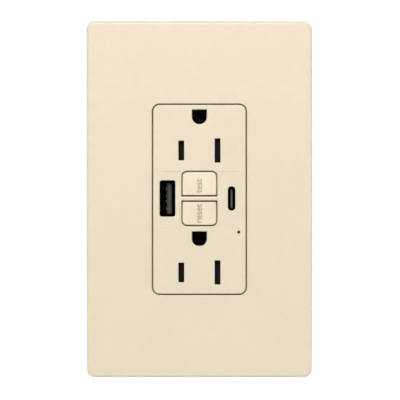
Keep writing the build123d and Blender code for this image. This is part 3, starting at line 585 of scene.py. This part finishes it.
def finishes(context):
    """Every finish of the outlet by its name without the process, which is its slot's name."""
    made = [m for m in bpy.data.materials if m.name.endswith(PROCESSES)]
    return {m.name.rsplit("_", 1)[0]: m for m in made or make_finishes(context)}


def record_slot(holder):
    """Name of the record's slot in a material slot of a carried-over part."""
    name = holder.material.name.split(".")[0]
    return name.rsplit("_", 1)[0] if name.endswith(PROCESSES) else name


def make_finishes(context):
    """Makes each finish: shared ones from the user's colours, the others from their own."""
    colours = context.scene.outlet_colours
    return [
        # Satin ABS, moulded in a lightly eroded tool: soft sheen without a grain one can feel.
        moulded_plastic("cover_plastic_moulded", colours.cover, colours.cover_shade,
                        0.36, 0.35, 0.006),
        # Nylon face, moulded in a finer tool: a little glossier than the plate.
        moulded_plastic("face_plastic_moulded", colours.face, colours.face_shade,
                        0.34, 0.3, 0.005),
        # Polycarbonate buttons, moulded smooth: small soft highlights on their edges.
        moulded_plastic("button_plastic_moulded", colours.button, colours.face,
                        0.32, 0.3, 0.004),
        # Rounded edges of the ivory mouldings, glossier and painted lighter than the plastic: a
        # painted highlight.
        moulded_plastic("edge_plastic_moulded", colours.edge, linear("#FCF3DE"),
                        0.25, 0.3, 0.002),
        # Walls of the narrow gaps, moulded and left unpolished: painted darker, as painted
        # shade deep in the gaps.
        moulded_plastic("gap_plastic_moulded", linear("#8E7F62"), linear("#7C6E54"),
                        0.6, 0.3, 0.006),
        # Letters, moulded in and left dull: painted darker than the buttons, as painted shade
        # on the moulded strokes.
        moulded_plastic("letter_plastic_moulded", colours.letters, linear("#B1A283"),
                        0.5, 0.3, 0.004),
        # Plain polycarbonate subplate, moulded in a bare tool: more sheen, visible flow.
        moulded_plastic("subplate_plastic_moulded", colours.subplate, linear("#DCD5C3"),
                        0.45, 0.5, 0.01),
        # Glass filled nylon body, moulded: matt black with a coarse grain.
        moulded_plastic("body_plastic_moulded", colours.body, linear("#1E1E20"),
                        0.52, 0.4, 0.02),
        # Dark grey nylon carrier, moulded: dull and waxy.
        moulded_plastic("carrier_plastic_moulded", colours.carrier, linear("#303032"),
                        0.48, 0.5, 0.01),
        # Black acetal shutters, moulded: their own black deepened to near zero as painted
        # shade, so that the slots look empty.
        moulded_plastic("shutter_plastic_moulded", colours.shutter, linear("#0C0B0B"),
                        0.55, 0.3, 0.005, specular=0.15),
        # Liquid crystal polymer tongues, moulded: dark grey with a dull sheen.
        moulded_plastic("tongue_plastic_moulded", linear("#434344"), linear("#373738"),
                        0.4, 0.25, 0.005),
        # Liquid crystal polymer of the small port's tongue, moulded: a lighter grey.
        moulded_plastic("bar_plastic_moulded", linear("#6E6E70"), linear("#626264"),
                        0.35, 0.25, 0.004),
        # Nylon spool, moulded: off-white and waxy.
        moulded_plastic("bobbin_plastic_moulded", linear("#D8D2BE"), linear("#C8C2AE"),
                        0.45, 0.4, 0.008),
        # PVC capacitor sleeve, shrunk on: dark blue with a soft gloss.
        moulded_plastic("can_sleeve_shrunk", linear("#1B2440"), linear("#141B33"),
                        0.3, 0.6, 0.006),
        # PVC insulation, extruded: white with a slight gloss.
        moulded_plastic("wire_white_extruded", linear("#E9E7E1"), linear("#DDD9D0"),
                        0.38, 0.5, 0.006),
        # Phenolic ring cases, moulded: black and dull, with a slightly uneven skin.
        moulded_plastic("tape_black_moulded", linear("#17181A"), linear("#222326"),
                        0.55, 0.8, 0.03, 5.0),
        # Smoked acrylic light pipe, moulded in a polished tool: dark from the room.
        moulded_plastic("light_plastic_moulded", linear("#0E0F0E"), linear("#121412"),
                        0.15, 0.4, 0.002),
        # Diffused epoxy lamp, cast: milky green.
        moulded_plastic("led_epoxy_cast", linear("#7FB98A"), linear("#6FA97B"),
                        0.2, 0.4, 0.002),
        # Glass fibre laminate, pressed and lacquered: deep green with faint clouds.
        moulded_plastic("board_laminate_pressed", linear("#1F5B38"), linear("#194D2F"),
                        0.3, 0.5, 0.01, 4.0),
        # Cold rolled steel, zinc plated and passivated: grey, faintly clouded.
        worked_metal("zinc_steel_plated", linear("#B4B8BA"), linear("#A7ABAD"),
                     0.36, 0.12, 0.006, clouds=7.0),
        # Spring steel wire, drawn: bright grey with lines along it.
        worked_metal("spring_steel_drawn", linear("#A9AAAC"), linear("#8F9092"),
                     0.28, 0.1, 0.005),
        # Turned and drawn steel, nickel plated: warm silver.
        worked_metal("nickel_steel_plated", linear("#BDB8AD"), linear("#A8A398"),
                     0.25, 0.12, 0.004),
        # Deep drawn steel, black nickel plated: the dark lining of the charging ports.
        worked_metal("port_steel_plated", linear("#1C1B1A"), linear("#131312"),
                     0.4, 0.12, 0.004),
        # Cartridge brass, stamped: yellow with brown clouds.
        worked_metal("brass_stamped", linear("#C9A455"), linear("#AD8942"),
                     0.3, 0.12, 0.006),
        # Steel, zinc plated and dyed green: the colour of a ground terminal.
        worked_metal("green_steel_plated", linear("#3E8A50"), linear("#2F7541"),
                     0.36, 0.12, 0.006),
        # Enamelled copper wire, wound: orange brown with a clear gloss.
        worked_metal("copper_winding_enamelled", linear("#B8703F"), linear("#9C5B31"),
                     0.27, 0.12, 0.004),
    ]


# Pieces

def opening_tools(context, front, depth):
    """Cutters for every opening of the outlet face, from in front of it to a depth."""
    s = context.scene.outlet_sizes
    tools = []
    for z in (s.slot_z, s.slot_z - s.outlet_pitch):
        for side, height in ((-1, s.hot_slot), (1, s.neutral_slot)):
            tools.append(opening("slot", side * s.slot_spacing / 2, z, s.slot_width, height,
                                 front, depth, 0.15 * MM, 3))
        tools.append(ground_tool(s, z + s.ground_rise, front, depth))
    for x, width, height, corner in (
        (-s.port_a_x, s.port_a_width, s.port_a_height, s.port_a_corner),
        (s.port_c_x, s.port_c_width, s.port_c_height, s.port_c_corner),
    ):
        tools.append(opening("port", x, s.control_z, width, height, front, depth, corner))
    tools.append(rod("light_hole", (s.light_x, front, -s.light_drop),
                     (s.light_x, depth, -s.light_drop), s.light_radius, 24))
    return tools


def opening_ends(s):
    """Heights where an opening of the outlet face or its panel ends."""
    ends = [s.control_z + side * half for side in SIDES for half in (
        s.panel_height / 2, s.panel_height / 2 - s.panel_corner, s.port_a_height / 2,
        s.port_c_height / 2, (s.button_pitch + s.button_height) / 2 + s.button_gap,
        (s.button_pitch - s.button_height) / 2 - s.button_gap,
    )]
    ends += [s.light_radius - s.light_drop, -s.light_radius - s.light_drop]
    for z in (s.slot_z, s.slot_z - s.outlet_pitch):
        ends += [z + side * height / 2 for side in SIDES
                 for height in (s.hot_slot, s.neutral_slot)]
        ends += [z + s.ground_rise + s.ground_flat, z + s.ground_rise - s.ground_radius]
    return ends


def ground_tool(s, z, front, depth):
    """Cutter for a ground hole, round below and flat above."""
    radius = s.ground_radius
    tool = rod("ground_hole", (0, front, z), (0, depth, z), radius, 64)
    low = (-radius, front, z)
    high = (radius, depth, z + s.ground_flat)
    return combine(tool, [block("ground_flat", low, high)], "UNION")


def terminal_pocket(side, z, wall_x):
    """Walls that part a terminal from the middle of the device."""
    def part(name, near, far, front, back, half):
        x0, x1 = span(side, near, far)
        return block(name, (x0, front * MM, z - half * MM), (x1, back * MM, z + half * MM))

    outside = part("pocket", 9.4 * MM, wall_x + 0.3 * MM, front=14, back=30.2, half=6.5)
    inside = part("inside", 10.2 * MM, wall_x + MM, front=13, back=31, half=5.8)
    return combine(outside, [inside], "DIFFERENCE")


def button_block(context, name, side, front, back, margin):
    """Button outline: large radii on its outer corners, small ones beside the bridge."""
    s = context.scene.outlet_sizes
    z = s.control_z + side * s.button_pitch / 2
    half = Vector((s.button_width / 2 + margin, 0, s.button_height / 2 + margin))
    piece = block(name, Vector((0, front, z)) - half, Vector((0, back, z)) + half)

    def outward(edge):
        return side * (middle(edge).z - z)

    round_edges(piece, s.button_corner + margin, 8, lambda e: along(e, 1) and outward(e) > 0)
    round_edges(piece, s.button_inner, 4,
                lambda e: along(e, 1) and outward(e) < -half.z + TINY)
    return piece


class OUTLET_OT_cover_plate(bpy.types.Operator):
    """Model the crowned cover of the wall plate"""
    bl_idname = "outlet.cover_plate"
    bl_label = "Cover Plate"

    def execute(self, context):
        s = context.scene.outlet_sizes
        low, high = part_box("wall_plate_cover")
        radius = crown_radius(context)
        plate = rounded_block("plate", low, high, s.plate_corner)
        half_x = s.face_width / 2 + s.plate_gap
        half_z = s.face_height / 2 + s.plate_gap
        corner = s.face_corner + s.plate_gap
        ends = [side * z for side in SIDES
                for z in (high.z - s.plate_corner, half_z, half_z - corner)]
        crown_front(plate, low.y, radius, ends)
        round_edges(plate, s.plate_edge, 6, is_rim)
        wall = Vector((s.plate_wall, s.plate_wall, s.plate_wall))
        inner_low, inner_high = low + wall, high - wall
        inner_high.y = high.y + MM
        cavity = rounded_block("cavity", inner_low, inner_high, s.plate_corner - s.plate_wall)
        crown_front(cavity, inner_low.y, radius)
        combine(plate, [cavity], "DIFFERENCE")
        wide_x, wide_z = half_x + s.collar_wall, half_z + s.collar_wall
        front = low.y + s.plate_wall
        collar = rounded_block(
            "collar", (-wide_x, front - 0.2 * MM, -wide_z),
            (wide_x, front + s.collar_depth, wide_z), corner + s.collar_wall,
        )
        combine(plate, [collar], "UNION")
        window = rounded_block(
            "window", (-half_x, low.y - MM, -half_z), (half_x, high.y, half_z), corner
        )
        combine(plate, [window], "DIFFERENCE")
        clean(plate)
        inside = half_x + MM
        # The opening's rounded rim gets the painted highlight, and its inner walls the painted
        # shade.
        round_edges(plate, s.rim_round, 4, lambda e: is_rim(e) and abs(middle(e).x) < inside
                    and middle(e).y < front - MM, EDGE)
        line_faces(plate, GAP, lambda f: is_wall(f) and abs(f.center.x) < inside
                   and abs(f.center.z) < half_z + 0.1 * MM)
        finish_piece(plate, "cover_plate", ("cover_plastic", "edge_plastic", "gap_plastic"),
                     "cover_plastic", "cover", "wall_plate_cover")
        return {"FINISHED"}


class OUTLET_OT_outlet_face(bpy.types.Operator):
    """Model the outlet face with its openings, recessed panel, bridge and skirt"""
    bl_idname = "outlet.outlet_face"
    bl_label = "Outlet Face"

    def execute(self, context):
        s = context.scene.outlet_sizes
        low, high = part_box("face_cover")
        radius = crown_radius(context)
        half_x, half_z = s.face_width / 2, s.face_height / 2
        face = rounded_block("face", (-half_x, low.y, -half_z), (half_x, 0.5 * MM, half_z),
                             s.face_corner)
        corner_z = half_z - s.face_corner
        crown_front(face, low.y, radius, [*opening_ends(s), corner_z, -corner_z])
        # The rounded edge of the face gets the painted highlight.
        round_edges(face, s.face_edge, 5, is_rim, EDGE)
        panel_front = low.y + s.panel_recess
        mid = s.control_z
        panel_z = s.panel_height / 2
        panel = rounded_block(
            "panel", (-s.panel_width / 2, panel_front - 2 * MM, mid - panel_z),
            (s.panel_width / 2, panel_front, mid + panel_z), s.panel_corner,
        )
        combine(face, [panel], "DIFFERENCE")
        skirt = rounded_block("skirt", (low.x, 0, low.z), high, s.skirt_corner)
        combine(face, [skirt], "UNION")
        inner_front = low.y + s.face_wall
        wall = s.skirt_wall
        hollow_x, hollow_z = half_x - s.side_wall, half_z - s.side_wall
        hollow = block("hollow", (-hollow_x, inner_front, -hollow_z),
                       (hollow_x, wall + MM, hollow_z))
        combine(face, [hollow], "DIFFERENCE")
        room = rounded_block("room", (low.x + wall, wall, low.z + wall),
                             (high.x - wall, high.y + MM, high.z - wall), MM)
        combine(face, [room], "DIFFERENCE")
        notch_x = 14.3 * MM  # clears the strap, which passes through both ends
        notches = []
        for side in SIDES:
            z0, z1 = span(side, hollow_z - MM, high.z + MM)
            notches.append(block("notch", (-notch_x, -1.5 * MM, z0),
                                 (notch_x, high.y + MM, z1)))
        combine(face, notches, "DIFFERENCE")
        front, back = low.y - MM, inner_front + MM
        combine(face, opening_tools(context, front, back), "DIFFERENCE")
        combine(face, [button_block(context, "button_hole", side, front, back, s.button_gap)
                       for side in SIDES], "DIFFERENCE")
        clean(face)
        edge_x, edge_z = half_x - s.face_edge * 1.5, half_z - s.face_edge * 1.5
        step_x, step_z = s.panel_width / 2 - 0.05 * MM, panel_z - 0.05 * MM

        def on_front(edge):
            spot = middle(edge)
            return is_rim(edge) and spot.y < inner_front - MM and abs(spot.x) < edge_x \
                and abs(spot.z) < edge_z

        def on_step(edge):
            spot = middle(edge)
            corner, reach = s.panel_corner, 0.2 * MM
            across = abs(spot.x) - (step_x - corner)
            up = abs(spot.z - mid) - (step_z - corner)
            if across > 0 and up > 0:
                return abs(math.hypot(across, up) - corner) < 1.5 * reach
            return abs(abs(spot.x) - step_x) < reach and up <= 0 \
                or abs(abs(spot.z - mid) - step_z) < reach and across <= 0

        # The lips of the openings get the painted highlight.
        round_edges(face, s.lip, 4, lambda e: on_front(e) and not on_step(e), EDGE)
        round_edges(face, 0.07 * MM, 2, lambda e: on_front(e) and on_step(e))
        bridge_z = (s.button_pitch - s.button_height) / 2 - s.button_gap
        bridge_x = s.button_width / 2
        bridge = rod("bridge", (-bridge_x, 0, 0), (bridge_x, 0, 0), bridge_z * 0.97, 32)
        bridge.scale = (1, s.bridge_rise / bridge_z, 1)
        bridge.location = (0, panel_front + 0.1 * MM, mid)
        bake_place(bridge)
        combine(face, [bridge], "UNION")
        round_edges(face, 0.4 * MM, 3,
                    lambda e: is_sharp(e) and -0.1 * MM < middle(e).y < 0.1 * MM)
        # The walls of the button holes get the painted shade.
        hole_x = s.button_width / 2 + s.button_gap + 0.1 * MM
        hole_z = (s.button_pitch + s.button_height) / 2 + s.button_gap + 0.1 * MM
        line_faces(face, GAP, lambda f: is_wall(f) and abs(f.center.x) < hole_x
                   and abs(f.center.z - mid) < hole_z)
        finish_piece(face, "outlet_face", ("face_plastic", "edge_plastic", "gap_plastic"),
                     "face_plastic", "device", "face_cover")
        return {"FINISHED"}


class OUTLET_OT_buttons(bpy.types.Operator):
    """Model the test and reset buttons with their flanges, stems and letters"""
    bl_idname = "outlet.buttons"
    bl_label = "Buttons"

    def execute(self, context):
        s = context.scene.outlet_sizes
        radius = crown_radius(context)
        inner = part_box("face_cover")[0].y + s.face_wall
        stem_front = inner + 2.2 * MM
        straight = s.button_height / 2 - s.button_corner
        pin_low, pin_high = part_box("reset_pin")
        pin = (pin_high.x - pin_low.x) / 2
        for node, side, body, word in (
            ("test_button", 1, "test_key", "test"),
            ("reset_button", -1, "reset_key", "reset"),
        ):
            low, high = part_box(node)
            z = s.control_z + side * s.button_pitch / 2
            cap = button_block(context, "cap", side, low.y, inner + 2.4 * MM, 0)
            crown_front(cap, low.y, radius, (z - straight, z + straight), 1.5 * MM)
            round_edges(cap, s.button_edge, 6, is_rim)
            flange = block("flange", (low.x, inner + 0.1 * MM, low.z),
                           (high.x, inner + 1.1 * MM, high.z))
            combine(cap, [flange], "UNION")
            if side > 0:
                stem = rod("stem", (0, stem_front, z), (0, high.y, z), pin)
                blade_low, blade_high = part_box("test_contact_blade")
                gap, half = 0.1 * MM, 0.3 * MM
                leg_z = z + s.button_height / 2 - 1.25 * MM
                leg = block("leg", (blade_low.x + gap, stem_front, leg_z - half),
                            (blade_high.x - gap, blade_low.y - gap, leg_z + half))
                combine(cap, [stem], "UNION")
                combine(cap, [leg], "UNION")
            else:
                socket = rod("socket", (0, pin_low.y, z), (0, high.y + MM, z), pin + 0.05 * MM)
                combine(cap, [socket], "DIFFERENCE")
            clean(cap)
            finish_piece(cap, node + "_cap", ("button_plastic",), "button_plastic", body, node)
            self.letter(context, word, z - (0.4 + 0.35 * side) * MM, low.y, body)
        return {"FINISHED"}

    def letter(self, context, word, z, front, body):
        """Raised word that reads upwards on a button."""
        s = context.scene.outlet_sizes
        settle()
        bpy.ops.object.text_add()
        text = bpy.context.object
        text.data.body = word
        text.data.size = s.letter_size
        text.data.extrude = s.letter_rise
        text.data.bevel_depth = s.letter_rise / 3
        text.data.align_x = "CENTER"
        text.data.align_y = "CENTER"
        take(text)
        bpy.ops.object.convert(target="MESH")
        text = bpy.context.object
        text.rotation_euler = (RIGHT_ANGLE, -RIGHT_ANGLE, 0)
        text.location = (-0.15 * MM, front - s.letter_rise / 2, z)
        bake_place(text)
        clean(text)
        finish_piece(text, word + "_letters", ("letter_plastic",), "button_plastic", body)


class OUTLET_OT_rear_housing(bpy.types.Operator):
    """Model the rear housing with its windows, wire funnels, screw tubes and recesses"""
    bl_idname = "outlet.rear_housing"
    bl_label = "Rear Housing"

    def execute(self, context):
        s = context.scene.outlet_sizes
        low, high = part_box("rear_housing")
        wall = s.skirt_wall
        inside, behind = high.y - wall, high.y + MM
        quarters = [(x, z) for x in SIDES for z in SIDES]
        terminals = [(side, z * s.terminal_z) for side, z in quarters]
        shell = rounded_block("shell", low, high, s.skirt_corner)
        round_edges(shell, MM, 5, lambda e: is_sharp(e) and middle(e).y > high.y - TINY)
        round_edges(shell, 0.3 * MM, 3, lambda e: is_sharp(e) and middle(e).y < low.y + TINY)
        room = rounded_block("room", (low.x + wall, low.y - MM, low.z + wall),
                             (high.x - wall, inside, high.z - wall), MM)
        combine(shell, [room], "DIFFERENCE")

        # Tubes around the housing screws, pads that hold the board, and terminal pockets
        head = Vector((2.2, 0, 2.2)) * MM  # radius of a housing screw's head
        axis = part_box("housing_screws")[1] - head
        corners = [(x * axis.x, z * axis.z) for x, z in quarters]
        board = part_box("main_board")[1]
        inset = 2 * MM
        pads = [(x * (board.x - inset), z * (board.z - inset)) for x, z in quarters]
        root = inside + 0.2 * MM
        posts = [rod("tube", (x, low.y + 0.4 * MM, z), (x, root, z), s.tube_radius)
                 for x, z in corners]
        posts += [rod("pad", (x, board.y, z), (x, root, z), 1.6 * MM) for x, z in pads]
        combine(shell, posts, "UNION")
        combine(shell, [terminal_pocket(side, z, high.x - wall) for side, z in terminals],
                "UNION")
        bores = [rod("bore", (x, low.y - MM, z), (x, behind, z), s.bore_radius)
                 for x, z in corners]
        combine(shell, bores, "DIFFERENCE")

        # Screw sinks, side windows, wire entries, label recess, marks and grooves
        cuts = [rod("sink", (x, high.y - 3 * MM, z), (x, behind, z), s.sink_radius)
                for x, z in corners]
        entries = []
        half = s.window_half
        screw_low, screw_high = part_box("line_hot_screw")
        depth = (screw_low.y + screw_high.y) / 2
        for side, z in terminals:
            x0, x1 = span(side, high.x - wall - 0.5 * MM, high.x + MM)
            cuts.append(rounded_block("window", (x0, depth - half, z - half),
                                      (x1, depth + half, z + half), 0.6 * MM, 4, axis=0))
            for step in (-s.entry_step, s.entry_step):
                x, mid = side * s.entry_x, z + step
                entries.append((x, mid))
                almost_half = s.entry_width * 0.48
                cuts.append(opening("entry", x, mid, s.entry_width, s.entry_height,
                                    inside - MM, behind, almost_half, 6))
        floor = high.y - s.mark_depth
        label_x, label_z = s.label_width / 2, s.label_height / 2
        cuts.append(rounded_block("label", (-label_x, floor, -label_z),
                                  (label_x, behind, label_z), 1.5 * MM))
        mark_x, mark_z = 7 * MM, 24 * MM
        cuts += [rod("ejector", (x * mark_x, floor, z * mark_z),
                     (x * mark_x, behind, z * mark_z), 2 * MM) for x, z in quarters]
        cuts.append(rounded_block("strip_gauge", (-mark_x, high.y - 0.4 * MM, -30.6 * MM),
                                  (mark_x, behind, -29.2 * MM), 0.6 * MM, 4))
        groove_depth, groove_half = 0.35 * MM, 0.6
        for side in SIDES:
            x0, x1 = span(side, high.x - groove_depth, high.x + MM)
            for z in (-9, -3, 3, 9):
                cuts.append(block("groove", (x0, 13 * MM, (z - groove_half) * MM),
                                  (x1, 33 * MM, (z + groove_half) * MM)))
        combine(shell, cuts, "DIFFERENCE")
        clean(shell)

        def near(edge, places, reach):
            spot = middle(edge)
            return any(math.hypot(spot.x - x, spot.z - z) < reach for x, z in places)

        def at_back(edge):
            return is_sharp(edge) and middle(edge).y > high.y - TINY

        def at_side(edge):
            return is_sharp(edge) and abs(middle(edge).x) > high.x - TINY

        round_edges(shell, s.funnel, 2, lambda e: at_back(e) and near(e, entries, 2 * MM))
        round_edges(shell, 0.2 * MM, 3, lambda e: at_back(e) and near(e, corners, 2.6 * MM))
        round_edges(shell, 0.06 * MM, 2, lambda e: at_back(e) and abs(middle(e).x) < 12 * MM)
        round_edges(shell, 0.1 * MM, 2, lambda e: at_side(e) and abs(middle(e).z) < 10 * MM)
        round_edges(shell, 0.35 * MM, 3, lambda e: at_side(e) and abs(middle(e).z) > 14 * MM
                    and low.y + MM < middle(e).y < high.y - 2 * MM)
        finish_piece(shell, "rear_shell", ("body_plastic",), "body_plastic", "device",
                     "rear_housing")
        return {"FINISHED"}


class OUTLET_OT_tongues(bpy.types.Operator):
    """Model the rounded tongues inside the two charging ports"""
    bl_idname = "outlet.tongues"
    bl_label = "Port Tongues"

    def execute(self, context):
        for node, corner, edge, look in (
            ("usb_a_tongue", 0.5, 0.45, "tongue_plastic"),
            ("usb_c_tongue", 0.2, 0.22, "bar_plastic"),
        ):
            low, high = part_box(node)
            tongue = rounded_block(node, low, high, corner * MM, 4)
            round_edges(tongue, edge * MM, 4,
                        lambda e: is_sharp(e) and middle(e).y < low.y + TINY)
            finish_piece(tongue, node + "_round", (look,), "tongue_plastic", "device", node)
        return {"FINISHED"}


class OUTLET_OT_screws(bpy.types.Operator):
    """Model every screw with its thread and combination head"""
    bl_idname = "outlet.screws"
    bl_label = "Screws"

    def execute(self, context):
        forward, backward = (RIGHT_ANGLE, 0, 0), (-RIGHT_ANGLE, 0, 0)
        for node, turn, head, height, radius, neck, pitch in (
            ("mounting_screws", forward, 3.4, 1.4, 1.75, 2.6, 0.79),
            ("subplate_screws", forward, 3.2, 0.9, 1.75, 3.1, 0.79),
            ("housing_screws", backward, 2.2, 1.6, 1.3, 2.0, 0.7),
        ):
            low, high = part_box(node)
            under = low.y + height * MM if turn == forward else high.y - height * MM
            far = high.y if turn == forward else low.y
            master = threaded_screw(head * MM, height * MM, radius * MM, abs(far - under),
                                    neck * MM, pitch * MM)
            x, z = high.x - head * MM, high.z - head * MM
            columns = SIDES if x > MM else (0,)
            placed = [twin(master, (side * x, under, end * z), turn)
                      for side in columns for end in SIDES]
            bpy.data.objects.remove(master)
            finish_piece(join(placed), node + "_threaded", ("zinc_steel",), "zinc_steel",
                         "device", node)

        # Terminal screws, the same size and thread on all five terminals
        height, head, radius, pitch = 2.0 * MM, 3.9 * MM, 2.0 * MM, 0.794 * MM
        master = threaded_screw(head, height, radius, 7.0 * MM, 1.2 * MM, pitch)
        for node, slot in (
            ("line_hot", "brass"), ("load_hot", "brass"),
            ("line_neutral", "nickel_steel"), ("load_neutral", "nickel_steel"),
        ):
            low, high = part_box(node + "_screw")
            side = -1 if low.x < 0 else 1
            outer = low.x if side < 0 else high.x
            place = (outer - side * height, (low.y + high.y) / 2, (low.z + high.z) / 2)
            screw = twin(master, place, (0, side * RIGHT_ANGLE, 0))
            finish_piece(screw, node + "_screw_threaded", (slot,), slot,
                         node + "_screw_body", node + "_screw")
        bpy.data.objects.remove(master)
        low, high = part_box("ground_screw")
        master = threaded_screw(head, height, radius, high.z - low.z - height, 1.6 * MM, pitch)
        place = ((low.x + high.x) / 2, (low.y + high.y) / 2, low.z + height)
        screw = twin(master, place, (2 * RIGHT_ANGLE, 0, 0))
        bpy.data.objects.remove(master)
        finish_piece(screw, "ground_screw_threaded", ("green_steel",), "green_steel",
                     "ground_screw_body", "ground_screw")
        return {"FINISHED"}


class OUTLET_OT_metalwork(bpy.types.Operator):
    """Round the edges of the stamped and moulded parts that show from outside"""
    bl_idname = "outlet.metalwork"
    bl_label = "Metalwork"

    def execute(self, context):
        jobs = [
            ("strap", 0.15, "device"),
            ("wall_plate_subplate", 0.25, "device"),
            ("screw_retainers", 0.12, "device"),
            ("ground_clamp", 0.15, "ground_clamp_body"),
        ]
        for name in ("line_hot", "line_neutral", "load_hot", "load_neutral"):
            jobs += [(name + "_clamp", 0.15, name + "_clamp_body"),
                     (name + "_terminal", 0.12, "device")]
        for node, radius, body in jobs:
            slot = record_slot(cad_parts[node].material_slots[0])
            finish_piece(softened(node, radius * MM), node + "_soft", (slot,), slot, body, node)
        return {"FINISHED"}


class OUTLET_OT_surfaces(bpy.types.Operator):
    """Give every carried-over part its finish"""
    bl_idname = "outlet.surfaces"
    bl_label = "Surfaces"

    def execute(self, context):
        made = finishes(context)
        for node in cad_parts.values():
            for holder in node.material_slots:
                slot = record_slot(holder)
                if slot not in made:
                    raise RuntimeError(f"no finish for {slot}")
                holder.material = made[slot]
        return {"FINISHED"}


class OUTLET_OT_stage(bpy.types.Operator):
    """Set up the pale floor, the soft studio lights and the camera"""
    bl_idname = "outlet.stage"
    bl_label = "Stage"

    def execute(self, context):
        scene = context.scene
        white = (1, 1, 1, 1)
        settle()
        bpy.ops.mesh.primitive_plane_add(size=8.0, location=(0, 0, -0.14))
        floor = bpy.context.object
        floor.name = "floor"
        pale = bpy.data.materials.new("floor_paper")
        pale.use_nodes = True
        shader = pale.node_tree.nodes["Principled BSDF"]
        shader.inputs["Base Color"].default_value = (0.8, 0.8, 0.8, 1)
        shader.inputs["Roughness"].default_value = 0.9
        shader.inputs["Emission Color"].default_value = white
        looked_at = add(pale.node_tree, "ShaderNodeLightPath").outputs["Is Camera Ray"]
        glow = add(pale.node_tree, "ShaderNodeMapRange",
                   {"Value": looked_at, **map_range(0.05, 1.0, 0, 1)})
        pale.node_tree.links.new(glow.outputs[0], shader.inputs["Emission Strength"])
        floor.data.materials.append(pale)

        world = bpy.data.worlds.new("studio")
        scene.world = world
        world.use_nodes = True
        tree = world.node_tree
        tree.nodes.clear()
        seen = add(tree, "ShaderNodeBackground", {"Color": white, "Strength": 1.05})
        lit = add(tree, "ShaderNodeBackground", {"Color": white, "Strength": 0.26})
        ray = add(tree, "ShaderNodeLightPath")
        blend = add(tree, "ShaderNodeMixShader", {
            0: ray.outputs["Is Camera Ray"], 1: lit.outputs[0], 2: seen.outputs[0],
        })
        add(tree, "ShaderNodeOutputWorld", {"Surface": blend.outputs[0]})

        for name, place, size, power in (
            ("front", (-0.1, -1.05, 0.62), (0.9, 0.3), 5.9),
            ("key", (0.0, -0.45, 0.42), (0.4, 0.2), 1.0),
            ("left", (-0.5, -0.09, 0.05), (0.06, 0.5), 0.32),
            ("right", (0.5, -0.09, 0.05), (0.06, 0.5), 0.4),
            ("top", (0.0, -0.09, 0.5), (0.5, 0.06), 0.15),
            ("back", (0.5, 1.1, 0.7), (0.9, 0.9), 7.0),
        ):
            settle()
            bpy.ops.object.light_add(type="AREA", location=place)
            lamp = bpy.context.object
            lamp.name = "light_" + name
            lamp.rotation_euler = (-Vector(place)).to_track_quat("-Z", "Y").to_euler()
            lamp.data.shape = "RECTANGLE"
            lamp.data.size, lamp.data.size_y = size
            lamp.data.energy = power

        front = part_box("wall_plate_cover")[0].y
        eye = bpy.data.cameras.new("camera")
        camera = bpy.data.objects.new("camera", eye)
        scene.collection.objects.link(camera)
        eye.sensor_width = 36.0
        eye.lens = 250.0
        shown_width = 0.14012  # what the view takes in across, at the front of the plate
        distance = shown_width * eye.lens / eye.sensor_width
        camera.location = (0.21 * MM, front - distance, -0.245 * MM)
        camera.rotation_euler = (RIGHT_ANGLE, 0, 0)  # square to the plate, looking level
        eye.clip_start, eye.clip_end = 0.05, 20.0
        scene.camera = camera
        scene.view_settings.view_transform = "Standard"
        return {"FINISHED"}


STEPS = (
    OUTLET_OT_stage,
    OUTLET_OT_rear_housing,
    OUTLET_OT_tongues,
    OUTLET_OT_screws,
    OUTLET_OT_metalwork,
    OUTLET_OT_surfaces,
    OUTLET_OT_cover_plate,
    OUTLET_OT_outlet_face,
    OUTLET_OT_buttons,
)


class OUTLET_PT_steps(bpy.types.Panel):
    """Steps that build the outlet"""
    bl_idname = "OUTLET_PT_steps"
    bl_label = "Combination Outlet"
    bl_space_type = "VIEW_3D"
    bl_region_type = "UI"
    bl_category = "Outlet"

    def draw(self, context):
        for step in STEPS:
            self.layout.operator(step.bl_idname)


def register():
    for kind in (OutletSizes, OutletColours, *STEPS, OUTLET_PT_steps):
        bpy.utils.register_class(kind)
    bpy.types.Scene.outlet_sizes = bpy.props.PointerProperty(type=OutletSizes)
    bpy.types.Scene.outlet_colours = bpy.props.PointerProperty(type=OutletColours)


def unregister():
    del bpy.types.Scene.outlet_sizes
    del bpy.types.Scene.outlet_colours
    for kind in reversed((OutletSizes, OutletColours, *STEPS, OUTLET_PT_steps)):
        bpy.utils.unregister_class(kind)


def main():
    register()
    for step in STEPS:
        group, action = step.bl_idname.split(".")
        getattr(getattr(bpy.ops, group), action)()


if __name__ == "__main__":
    main()
